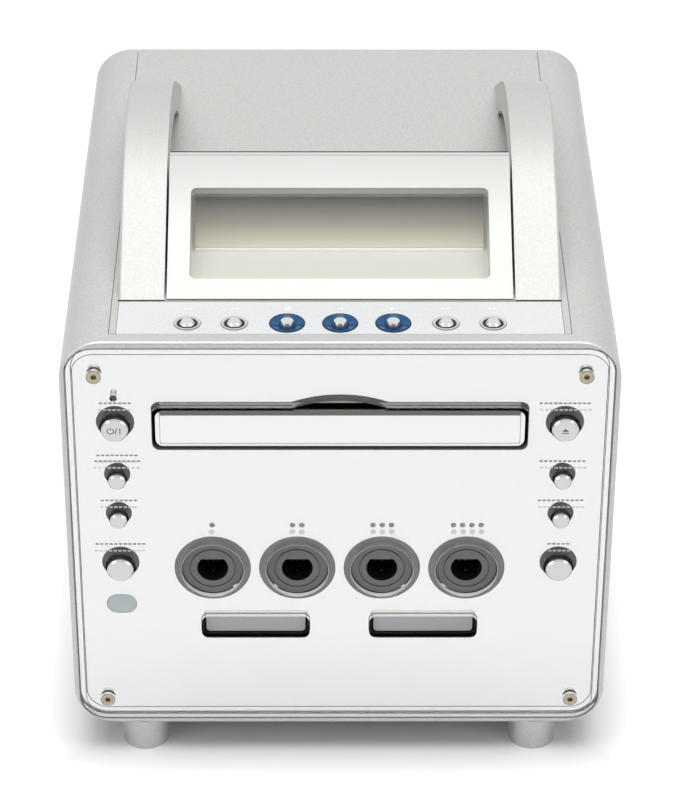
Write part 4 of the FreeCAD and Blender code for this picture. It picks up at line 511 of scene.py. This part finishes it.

# %% [markdown]
# ## Display pod
# The pod is a pearl white box with a deep window. Satin paint mirrors the studio very softly: the
# bezel is darker towards its top, the floor inside the window looks lighter and warm, and the display
# fades from cream below to grey above. The softboxes alone are too even for that, so this light and
# shade is painted: each of the three gets a base colour that changes with height, with painted shade
# at the top of the bezel and of the display, and painted light on the floor of the window.

# %% Painted light and shade that change with height


# Painted light and shade: the base colour ramps with height in place of light falling from above.
def paint_light_and_shade_by_height(material, name, tones):
    """Base colour that changes over one node, from its lower edge to its upper one."""
    tree = material.node_tree
    bottom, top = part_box(name)
    height = ramp(tree, coordinates(tree, "Object")["Z"], bottom.z, top.z)
    fade = tree.nodes.new("ShaderNodeValToRGB")
    stops = fade.color_ramp.elements
    stops.remove(stops[1])
    stops[0].color = tones[0]
    for step, tone in enumerate(tones[1:], start=1):
        stops.new(step / (len(tones) - 1)).color = tone
    tree.links.new(height, fade.inputs["Fac"])
    tree.links.new(fade.outputs["Color"], tree.nodes["Principled BSDF"].inputs["Base Color"])


# %% Display and its lens
# Painted shade: the display is cream at its foot and grows darker towards its top, under the bezel.
SCREEN_PAINTED_SHADE = [(0.735, 0.71, 0.56, 1), (0.335, 0.315, 0.26, 1), (0.068, 0.068, 0.058, 1)]
display_glass = new_finish(
    "display_glass", {"Base Color": grey(0.9), "Alpha": 0.04}, SMEARED,
    {"Clean": 0.03, "Smeared": 0.06})
screen_grey = new_finish(
    "screen_grey", {"Specular IOR Level": 0.1}, SMEARED, {"Clean": 0.2, "Smeared": 0.26})
paint_light_and_shade_by_height(screen_grey, "display_panel", SCREEN_PAINTED_SHADE)
dress(display_glass, "display_lens")
dress(screen_grey, "display_panel")

# %% Bezel and housing of the pod
# Painted shade at the bezel's top, and painted light on the window's floor at the housing's foot.
LEDGE_PAINTED_LIGHT = (0.69, 0.68, 0.62, 1)
POD_PAINTED_LIGHT_AND_SHADE = {
    "display_bezel": [ivory(0.64), ivory(0.64), ivory(0.47)],
    "display_housing": [LEDGE_PAINTED_LIGHT] + [ivory(0.60)] * 4,
}
for name, tones in POD_PAINTED_LIGHT_AND_SHADE.items():
    pearl = new_finish(
        f"{name}_pearl", {"Metallic": 0.15}, FLECKED,
        {"Fleck Scale": 12000, "Sheen Low": 0.46, "Sheen High": 0.50}, bump=0.08)
    paint_light_and_shade_by_height(pearl, name, tones)
    dress(pearl, name)

# %% [markdown]
# ## Base, rear and inside
# Apart from the feet, little of this is seen: a coated steel base and rear, green boards, and bare
# metal in the disc drive. The same effects do, with plainer values.

# %% Base, rear and what is inside
base_steel = new_finish(
    "base_steel", {"Metallic": 0.3}, FLECKED,
    {"Paint": grey(0.32), "Fleck": grey(0.42), "Fleck Scale": 2500,
     "Sheen Low": 0.45, "Sheen High": 0.55}, bump=0.2)
foot_metal = new_finish(
    "foot_metal", {"Metallic": 0.6}, FLECKED,
    {"Paint": grey(0.50), "Fleck": grey(0.72), "Fleck Scale": 5000,
     "Sheen Low": 0.35, "Sheen High": 0.5}, bump=0.2)
board_green = new_finish(
    "board_green", {"Coat Weight": 0.3}, GRAINED,
    {"Tone": (0.02, 0.12, 0.05, 1), "Drift": (0.03, 0.15, 0.06, 1),
     "Rough Low": 0.3, "Rough High": 0.4})
drive_metal = new_finish(
    "drive_metal", {"Metallic": 0.9}, FLECKED,
    {"Paint": grey(0.5), "Fleck": grey(0.6), "Fleck Scale": 900,
     "Sheen Low": 0.35, "Sheen High": 0.5})
rail_steel = new_finish(
    "rail_steel", {"Base Color": grey(0.7), "Metallic": 1.0}, SMEARED,
    {"Clean": 0.1, "Smeared": 0.2})
dress(base_steel, "base_plate", "rear_panel", "deck_brackets")
dress(foot_metal, "feet")
dress(board_green, "main_board", "switch_boards", "power_supply")
dress(drive_metal, "traverse_frame", "spindle_motor", "loading_motor", "clamp_bridge")
dress(rail_steel, "pickup_rails")
dress(black_moulding, "turntable", "optical_pickup", "loading_gear")

# %% [markdown]
# ## Printed marks
# The legends are printed on the face of the clear plate. Ink on a clear plate shows twice here: its
# pale face to the viewer and, a little higher, its back in the mirror behind the plate. A flat
# picture on the plate would have no back, so each mark is a thin slab with a pale front and a greyer
# back, and it lets some light through.

# %% Inks
INK_LIFT = 0.03 * MM
INK_THICKNESS = 0.05 * MM
CAP_INK_LIFT = 0.004 * MM
INK_COVER = 0.62
INK_SMEARS = 900
pale_ink = plain_finish("pale_ink", grey(0.84), 0.4, INK_SMEARS, {"Alpha": INK_COVER})
grey_ink = plain_finish("grey_ink", grey(0.50), 0.4, INK_SMEARS, {"Alpha": INK_COVER})
dark_ink = plain_finish("dark_ink", grey(0.05), 0.4, INK_SMEARS)
white_ink = plain_finish("white_ink", grey(0.95), 0.3, INK_SMEARS)
print("inks", [ink.name for ink in (pale_ink, grey_ink, dark_ink, white_ink)])

# %% Outlines, in millimetres
ROUND_STEPS = 24


def bar(width, height, across=0.0, up=0.0, lean=0.0):
    """Upright or leaning bar round a place."""
    left, right = across - width / 2, across + width / 2
    low, high = up - height / 2, up + height / 2
    return [(left - lean, low), (right - lean, low), (right + lean, high), (left + lean, high)]


def disc(radius, across=0.0, up=0.0, steps=ROUND_STEPS):
    turns = [2 * math.pi * step / steps for step in range(steps)]
    return [(across + radius * math.cos(turn), up + radius * math.sin(turn)) for turn in turns]


def arc_band(radius, stroke, start, end, across=0.0, up=0.0):
    """Open ring from one angle to another, in degrees."""
    turns = [
        math.radians(start + (end - start) * step / ROUND_STEPS) for step in range(ROUND_STEPS + 1)]
    rims = [(radius + stroke / 2, turns), (radius - stroke / 2, turns[::-1])]
    return [
        (across + rim * math.cos(turn), up + rim * math.sin(turn))
        for rim, path in rims for turn in path]


def arrow(width, height, across=0.0, up=0.0, to_side=False):
    """Triangle that points up, or to the right."""
    points = [(-width / 2, -height / 2), (width / 2, -height / 2), (0, height / 2)]
    if to_side:
        points = [(-height / 2, -width / 2), (height / 2, 0), (-height / 2, width / 2)]
    return [(across + x, up + z) for x, z in points]


def front_place(depth):
    """Millimetres across and up, as a point on an upright plane."""
    return lambda across, up, back: Vector((across * MM, depth + back, up * MM))


def top_place(level):
    """Millimetres across and along, as a point on a level plane."""
    return lambda across, along, back: Vector((across * MM, along * MM, level - back))


# %% Slabs and bands from outlines


def thicken(shape, faces, place, depth):
    """Push a copy of flat faces back, with walls between; returns the copy."""
    grown = bmesh.ops.extrude_face_region(shape, geom=faces, use_keep_orig=True)["geom"]
    verts = [part for part in grown if isinstance(part, bmesh.types.BMVert)]
    bmesh.ops.translate(shape, verts=verts, vec=place(0, 0, depth) - place(0, 0, 0))
    return [part for part in grown if isinstance(part, bmesh.types.BMFace)]


def walls_on(edges, faces):
    """Faces that meet some edges, apart from those given."""
    return [side for edge in edges for side in edge.link_faces if side not in faces]


def slab(shape, outline, place, thickness=INK_THICKNESS):
    """Plate on an outline; its face takes the first material and the rest the second."""
    face = shape.faces.new([shape.verts.new(place(across, up, 0)) for across, up in outline])
    back = thicken(shape, [face], place, thickness)
    for side in back + walls_on(face.edges, [face]):
        side.material_index = 1


def edge_loop(shape, outline, place, back=0.0):
    """Closed loop of edges on an outline."""
    verts = [shape.verts.new(place(across, up, back)) for across, up in outline]
    return [shape.edges.new(pair) for pair in zip(verts, verts[1:] + verts[:1])]


def frame_band(shape, outer, inner, place, depth, outer_finish=0):
    """Flat band between two outlines, thickened; its outside wall can have its own finish."""
    outer_edges = edge_loop(shape, outer, place)
    edges = outer_edges + edge_loop(shape, inner, place)
    ring = bmesh.ops.bridge_loops(shape, edges=edges)["faces"]
    thicken(shape, ring, place, depth)
    for side in walls_on(outer_edges, ring):
        side.material_index = outer_finish


# %% Placing a piece


def new_piece(name, shape, materials, body="case"):
    """Mesh piece from a bmesh, in its own place, carried by a body."""
    bmesh.ops.recalc_face_normals(shape, faces=shape.faces)
    mesh = bpy.data.meshes.new(name)
    shape.to_mesh(mesh)
    shape.free()
    for material in materials:
        mesh.materials.append(material)
    piece = bpy.data.objects.new(name, mesh)
    bpy.context.scene.collection.objects.link(piece)
    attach(piece, body)
    print(name, len(mesh.polygons), "faces on", body)


def box_mm(name):
    """Lower and upper corner of a node, in millimetres."""
    return [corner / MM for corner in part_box(name)]


def middle(name):
    """Middle of a node, in millimetres."""
    low, high = box_mm(name)
    return (low + high) / 2


# %% [markdown]
# ## Edge lines
# The rim of the clear plate is bevelled. Where the bevel starts and where it ends, the eye looks
# along the plate instead of into the mirror, so each edge shows as a thin dark line round the front.
# Each line is painted: a thin dark band, a painted reflection of the dark room in the bevel. The
# tray's door has such a painted line too, and its line slides out with it.

# %% Edge lines of the clear plate
PLATE_CORNER = 9.5
CORNER_STEPS = 10
TRIM_SMEARS = 400
# Thin dark bands at the bevel's edges: painted reflection.
EDGE_LINES = {
    "rim": {"insets": (0.05, 0.45), "depth": 0.15},
    "bevel": {"insets": (2.05, 2.30), "depth": -0.05},
}
edge_line = plain_finish("edge_line", grey(0.13), 0.3, TRIM_SMEARS)
plate_low, plate_high = box_mm("front_window")


def rounded_outline(low, high, corner, inset):
    """The outline of a plate with rounded corners, moved in by an inset."""
    radius = corner - inset
    centres = [
        (high.x - corner, high.z - corner), (low.x + corner, high.z - corner),
        (low.x + corner, low.z + corner), (high.x - corner, low.z + corner)]
    turns = [math.pi / 2 * step / CORNER_STEPS for step in range(CORNER_STEPS + 1)]
    return [
        (across + radius * math.cos(math.pi / 2 * quarter + turn),
         up + radius * math.sin(math.pi / 2 * quarter + turn))
        for quarter, (across, up) in enumerate(centres) for turn in turns]


for name, edge in EDGE_LINES.items():
    outlines = [
        rounded_outline(plate_low, plate_high, PLATE_CORNER, inset) for inset in edge["insets"]]
    line = bmesh.new()
    frame_band(line, *outlines, front_place((plate_low.y + edge["depth"]) * MM), INK_THICKNESS)
    new_piece(f"plate_{name}_line", line, [edge_line])

# %% Line round the tray door's bevel
DOOR_LINE = (1.40, 1.58)
DOOR_LINE_CORNER = 1.65
# Grey band round the door's bevel: painted reflection.
door_line = plain_finish("door_line", grey(0.30), 0.3, TRIM_SMEARS)
door_low, door_high = box_mm("tray_door")
outlines = [rounded_outline(door_low, door_high, DOOR_LINE_CORNER, inset) for inset in DOOR_LINE]
line = bmesh.new()
frame_band(line, *outlines, front_place(door_low.y * MM - INK_LIFT), INK_THICKNESS)
new_piece("door_bevel_line", line, [door_line], "tray")

# %% [markdown]
# ## Port numbers
# The ports are numbered by groups of one to four dots, printed on the clear plate in two inks: pale
# towards the viewer, and greyer towards the mirror.

# %% Port numbers as dots
PORT_COUNT = 4
PORT_FLANGE_RADIUS = 12.5
DOT_RADIUS = 0.95
DOT_PITCH = 3.05
DOT_RISE = 15.9
plate_face = front_place(plate_low.y * MM - INK_LIFT - INK_THICKNESS)
port_low, port_high = box_mm("controller_ports")
port_pitch = (port_high.x - port_low.x - 2 * PORT_FLANGE_RADIUS) / (PORT_COUNT - 1)
port_level = (port_high.z + port_low.z) / 2
port_columns = [(number - (PORT_COUNT - 1) / 2) * port_pitch for number in range(PORT_COUNT)]
dots = bmesh.new()
for number, column in enumerate(port_columns):
    for step in range(number + 1):
        across = column + (step - number / 2) * DOT_PITCH
        slab(dots, disc(DOT_RADIUS, across, port_level + DOT_RISE), plate_face)
new_piece("port_dots", dots, [pale_ink, grey_ink])

# %% [markdown]
# ## Cut edges
# Where the clear plate is cut through, its polished wall catches the light from above. Round each
# port it is a thin bright ring, brightest along its lower side; round the tray slot it is a grey
# line, with a tan lip above it. Light bent inside the plate would need many samples to draw these,
# so each is a thin piece of its own; the pale ring and the grey line are painted highlights of the
# wall.

# %% Cut edges round the ports
PORT_HOLE_RADIUS = 10.47
RIM_WALL = 0.1
RIM_START = 0.05
RIM_DEPTH = 1.6 * MM
RIM_STEPS = 64
# Pale inside and grey outside of each port's ring: painted highlight of the cut wall.
rim_painted_highlight = plain_finish("rim_painted_highlight", grey(0.85), 0.1, TRIM_SMEARS, {"Coat Weight": 0.5})
rim_grey = plain_finish(
    "rim_grey", (0.17, 0.17, 0.145, 1), 0.2, TRIM_SMEARS, {"Coat Weight": 0.3})
rim_place = front_place((plate_low.y + RIM_START) * MM)
rims = bmesh.new()
for column in port_columns:
    outer, inner = (
        disc(PORT_HOLE_RADIUS - wall, column, port_level, RIM_STEPS) for wall in (0, RIM_WALL))
    frame_band(rims, outer, inner, rim_place, RIM_DEPTH, 1)
new_piece("port_rims", rims, [rim_painted_highlight, rim_grey])

# %% Cut edge round the tray slot
SLOT_GAP = 1.12
SLOT_CORNER = 2.47
SLOT_DEPTH = 2.8 * MM


def slot_path(inset):
    """Down the slot's left side, along its lower edge and up its right side."""
    radius = SLOT_CORNER - inset
    left, right = door_low.x - SLOT_GAP + SLOT_CORNER, door_high.x + SLOT_GAP - SLOT_CORNER
    level = door_low.z - SLOT_GAP + SLOT_CORNER
    turns = [math.pi / 2 * step / CORNER_STEPS for step in range(CORNER_STEPS + 1)]
    return (
        [(left - radius, door_high.z)]
        + [(left - radius * math.cos(turn), level - radius * math.sin(turn)) for turn in turns]
        + [(right + radius * math.sin(turn), level - radius * math.cos(turn)) for turn in turns]
        + [(right + radius, door_high.z)])


# The slot's grey line is a painted highlight of its cut wall.
rims = bmesh.new()
slab(rims, slot_path(0) + slot_path(RIM_WALL)[::-1], rim_place, SLOT_DEPTH)
new_piece("slot_rim", rims, [rim_grey, rim_grey])

# %% Lip over the tray slot
LIP_RISE = 0.6
LIP_HEIGHT = 0.8
LIP_INSET = 1.5
LIP_DEPTH = 0.3 * MM
lip_tan = plain_finish("lip_tan", (0.42, 0.41, 0.37, 1), 0.2, TRIM_SMEARS, {"Coat Weight": 0.3})
lip_width = door_high.x - door_low.x - 2 * LIP_INSET
lip = bmesh.new()
slab(lip, bar(lip_width, LIP_HEIGHT, 0, door_high.z + SLOT_GAP + LIP_RISE),
     front_place(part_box("mirror_plate")[0].y), LIP_DEPTH)
new_piece("slot_lip", lip, [lip_tan, lip_tan])

# %% [markdown]
# ## Legends and symbols
# Each button on the front has a short printed legend above it, made as a row of dashes. Two caps
# carry a plain symbol each, for standby and for opening the tray; such a mark rides on its cap and
# goes in with it.

# %% Dashes where the front legends stand
LEGEND_WIDTHS = {
    "power_button": [11.4], "voice_button": [15.4, 14.0], "cinema_button": [11.8],
    "reset_button": [17.6], "open_close_button": [17.6], "surround_button": [15.2],
    "bass_button": [15.5], "game_button": [8.4],
}
LARGE_CAPS = ("power_button", "reset_button", "open_close_button", "game_button")
LARGE_LEGEND_RISE = 6.7
SMALL_LEGEND_RISE = 4.5
LEGEND_ROW_PITCH = 2.25
DASH_WIDTH = 1.05
DASH_HEIGHT = 0.6
DASH_PITCH = 1.55
legends = bmesh.new()
for name, widths in LEGEND_WIDTHS.items():
    cap = middle(name)
    rise = LARGE_LEGEND_RISE if name in LARGE_CAPS else SMALL_LEGEND_RISE
    for row, width in enumerate(widths):
        count = round(width / DASH_PITCH)
        up = cap.z + rise + row * LEGEND_ROW_PITCH
        for step in range(count):
            across = cap.x + (step - (count - 1) / 2) * DASH_PITCH
            slab(legends, bar(DASH_WIDTH, DASH_HEIGHT, across, up), plate_face)
new_piece("front_legends", legends, [pale_ink, grey_ink])

# %% Symbols on the two marked caps
STROKE = 0.32
STANDBY_RADIUS = 1.05
STANDBY_START, STANDBY_END = 125, 415
STANDBY_PLACE = -1.35
STEM_RISE = STANDBY_RADIUS * 0.75
SLASH_PLACE = 0.45
SLASH_LEAN = 0.35
MARK_HEIGHT = 2.3
ON_PLACE = 1.75
EJECT_WIDTH = 2.3
EJECT_HEIGHT = EJECT_WIDTH * 0.45
EJECT_RISE = 0.35
EJECT_BAR_DROP = 0.75
CAP_SYMBOLS = {
    "power_button": [
        arc_band(STANDBY_RADIUS, STROKE, STANDBY_START, STANDBY_END, STANDBY_PLACE),
        bar(STROKE, STANDBY_RADIUS, STANDBY_PLACE, STEM_RISE),
        bar(STROKE, MARK_HEIGHT, SLASH_PLACE, 0, SLASH_LEAN), bar(STROKE, MARK_HEIGHT, ON_PLACE)],
    "open_close_button": [
        arrow(EJECT_WIDTH, EJECT_HEIGHT, 0, EJECT_RISE),
        bar(EJECT_WIDTH, STROKE, 0, -EJECT_BAR_DROP)],
}
for name, outlines in CAP_SYMBOLS.items():
    cap = middle(name)
    cap_face = front_place(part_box(name)[0].y - CAP_INK_LIFT)
    marks = bmesh.new()
    for outline in outlines:
        slab(marks, [(cap.x + across, cap.z + up) for across, up in outline], cap_face)
    new_piece(f"{name}_mark", marks, [dark_ink, dark_ink], name)

# %% [markdown]
# ## Seams and gaps on top
# A dark seam runs under the pod and the arms, and a dark gap lies round each cap on the strip. The
# dark in both is shade, and both are so narrow that a render washes it out, so thin dark bands lie in
# their places: painted shadow. Plain white marks stand behind the caps.

# %% Painted shadow in the seam under the pod and the arms
SEAM_WIDTH = 0.55
SEAM_GAP = 0.03
# Near black band: painted shadow in the seams and in the gaps round the clear caps.
seam_painted_shadow = plain_finish(
    "seam_painted_shadow", (0.03, 0.027, 0.02, 1), 0.5, TRIM_SMEARS, {"Specular IOR Level": 0.1})
seam_place = top_place(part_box("top_panel")[1].z + INK_LIFT + INK_THICKNESS)
seam = bmesh.new()
for name in ("display_bezel", "handle_arm_left", "handle_arm_right"):
    low, high = box_mm(name)
    along = low.y - SEAM_GAP - SEAM_WIDTH / 2
    slab(seam, bar(high.x - low.x, SEAM_WIDTH, (low.x + high.x) / 2, along), seam_place)
low, high = box_mm("display_bezel")
slab(seam, bar(high.x - low.x, SEAM_WIDTH, 0, high.y + SEAM_GAP + SEAM_WIDTH / 2),
     top_place(high.z * MM + INK_LIFT + INK_THICKNESS))
new_piece("pod_seam", seam, [seam_painted_shadow, seam_painted_shadow])

# %% Outlines and gaps of the rings on the strip
CLEAR_NUMBERS = (1, 2, 6, 7)
BLUE_NUMBERS = (3, 4, 5)
BAND_STEPS = 48
ring_shade = new_finish(
    "ring_shade", {"Base Color": (0.006, 0.028, 0.07, 1), "Specular IOR Level": 0.15}, SMEARED)
# The rings round the caps' feet are painted shade, and so is the dark blue outline of each blue ring.
RING_BANDS = {
    "clear_rings_outline": {
        "numbers": CLEAR_NUMBERS, "radii": (4.45, 4.25), "on": "control_strip", "drop": 0.0,
        "finish": edge_line},
    "blue_rings_outline": {
        "numbers": BLUE_NUMBERS, "radii": (5.66, 5.36), "on": "blue_rings", "drop": 0.0,
        "finish": ring_shade},
    "clear_cap_gap_shade": {
        "numbers": CLEAR_NUMBERS, "radii": (3.28, 2.52), "on": "clear_rings", "drop": 0.4,
        "finish": seam_painted_shadow},
    "blue_cap_gap_shade": {
        "numbers": BLUE_NUMBERS, "radii": (2.95, 2.32), "on": "blue_rings", "drop": 0.75,
        "finish": ring_shade},
}
for name, band in RING_BANDS.items():
    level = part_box(band["on"])[1].z - band["drop"] * MM
    band_place = top_place(level + INK_LIFT + INK_THICKNESS)
    line = bmesh.new()
    for number in band["numbers"]:
        cap = middle(f"top_button_{number}")
        outer, inner = (disc(radius, cap.x, cap.y, BAND_STEPS) for radius in band["radii"])
        frame_band(line, outer, inner, band_place, INK_THICKNESS)
    new_piece(name, line, [band["finish"]])

# %% Marks on the control strip
MARK_BACK = 8.9
MARK_SIZE = 1.5
PAUSE_PITCH = 0.9
STOP, PAUSE, PLAY = BLUE_NUMBERS
SIDES = (-1, 1)
strip_face = top_place(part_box("control_strip")[1].z + INK_LIFT + INK_THICKNESS)
strip_marks = bmesh.new()
for number, name in enumerate(TOP_CAPS, start=1):
    cap = middle(name)
    across, along = cap.x, cap.y + MARK_BACK
    pair = [
        bar(DASH_WIDTH, DASH_HEIGHT, across + side * DASH_PITCH / 2, along) for side in SIDES]
    outlines = {
        STOP: [bar(MARK_SIZE, MARK_SIZE, across, along)],
        PAUSE: [bar(STROKE, MARK_SIZE, across + side * PAUSE_PITCH / 2, along) for side in SIDES],
        PLAY: [arrow(MARK_SIZE, MARK_SIZE, across, along, to_side=True)],
    }.get(number, pair)
    for outline in outlines:
        slab(strip_marks, outline, strip_face)
new_piece("strip_marks", strip_marks, [white_ink, white_ink])

# %% [markdown]
# ## Inside the sockets
# A controller socket is a deep black hole with a flat top. A thin black lining keeps the light out
# of it, and small contacts stand inside: two rows of three, and one more below them.

# %% Socket linings
SOCKET_RADIUS = 5.17
SOCKET_FLAT = 3.57
SOCKET_STEPS = 32
LINING = 0.15
LINING_DEPTH = 9.8 * MM
socket_black = new_finish(
    "socket_black", {"Specular IOR Level": 0.2}, GRAINED,
    {"Tone": grey(0.004), "Drift": grey(0.006), "Rough Low": 0.5, "Rough High": 0.6})
socket_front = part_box("controller_ports")[0].y


def flat_topped(radius, flat, across, up):
    """Circle with its top cut flat."""
    lean = math.asin(flat / radius)
    turns = [
        math.pi - lean + (math.pi + 2 * lean) * step / SOCKET_STEPS
        for step in range(SOCKET_STEPS + 1)]
    return [(across + radius * math.cos(turn), up + radius * math.sin(turn)) for turn in turns]


def cup(shape, outer, inner, place, depth, floor):
    """Lining that is open in front: an outside wall, a rim, an inside wall, and a floor."""
    rings = ((outer, depth), (outer, 0), (inner, 0), (inner, depth - floor))
    loops = [edge_loop(shape, outline, place, back) for outline, back in rings]
    for first, second in zip(loops, loops[1:]):
        bmesh.ops.bridge_loops(shape, edges=first + second)
    for end in (loops[0], loops[-1]):
        bmesh.ops.edgeloop_fill(shape, edges=end)


linings = bmesh.new()
for column in port_columns:
    outer, inner = (
        flat_topped(SOCKET_RADIUS - wall, SOCKET_FLAT - wall, column, port_level)
        for wall in (0, LINING))
    cup(linings, outer, inner, front_place(socket_front + INK_LIFT), LINING_DEPTH, LINING * MM)
new_piece("socket_linings", linings, [socket_black])

# %% Socket contacts
CONTACT_RADIUS = 0.4
CONTACT_STEPS = 12
CONTACT_START = 7.5 * MM
CONTACT_PITCH = 2.1
CONTACT_ROWS = (0.8, -2.0)
KEY_PLACE = -3.7
KEY_START = 4.0 * MM
contact_brass = new_finish(
    "contact_brass", {"Base Color": (0.22, 0.17, 0.09, 1), "Metallic": 1.0}, SMEARED,
    {"Clean": 0.25, "Smeared": 0.4})
contact_places = [
    (step * CONTACT_PITCH, up, CONTACT_START) for up in CONTACT_ROWS for step in (-1, 0, 1)]
contact_places.append((0, KEY_PLACE, KEY_START))
contacts = bmesh.new()
for column in port_columns:
    for across, up, start in contact_places:
        slab(contacts, disc(CONTACT_RADIUS, column + across, port_level + up, CONTACT_STEPS),
             front_place(socket_front + start), LINING_DEPTH - start)
new_piece("socket_contacts", contacts, [contact_brass, contact_brass])

# %% [markdown]
# ## Sill under the display
# A narrow pale sill runs along the foot of the display and catches the light as one bright line.
# It is a plain bar, a little in front of the panel, and its near white is a painted highlight.

# %% Sill under the display
SILL_HEIGHT = 0.9
SILL_DEPTH = 0.7
SILL_GAP = 0.1
# Near white: a painted highlight along the display's foot.
sill_painted_highlight = new_finish(
    "sill_painted_highlight", {"Base Color": ivory(0.95)}, SMEARED, {"Clean": 0.4, "Smeared": 0.5})
panel_low, panel_high = box_mm("display_panel")
sill = bmesh.new()
slab(sill, bar(panel_high.x - panel_low.x, SILL_HEIGHT, 0, panel_low.z + SILL_HEIGHT / 2),
     front_place((panel_low.y - SILL_GAP - SILL_DEPTH) * MM), SILL_DEPTH * MM)
new_piece("display_sill", sill, [sill_painted_highlight, sill_painted_highlight])

# %% [markdown]
# ## Sizes
# The box of the dressed console is written beside that of the imported solids, so that the two can be
# compared.

# %% Sizes, and finish
low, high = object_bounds()
print("dressed box", [round(side, 4) for side in high - low])
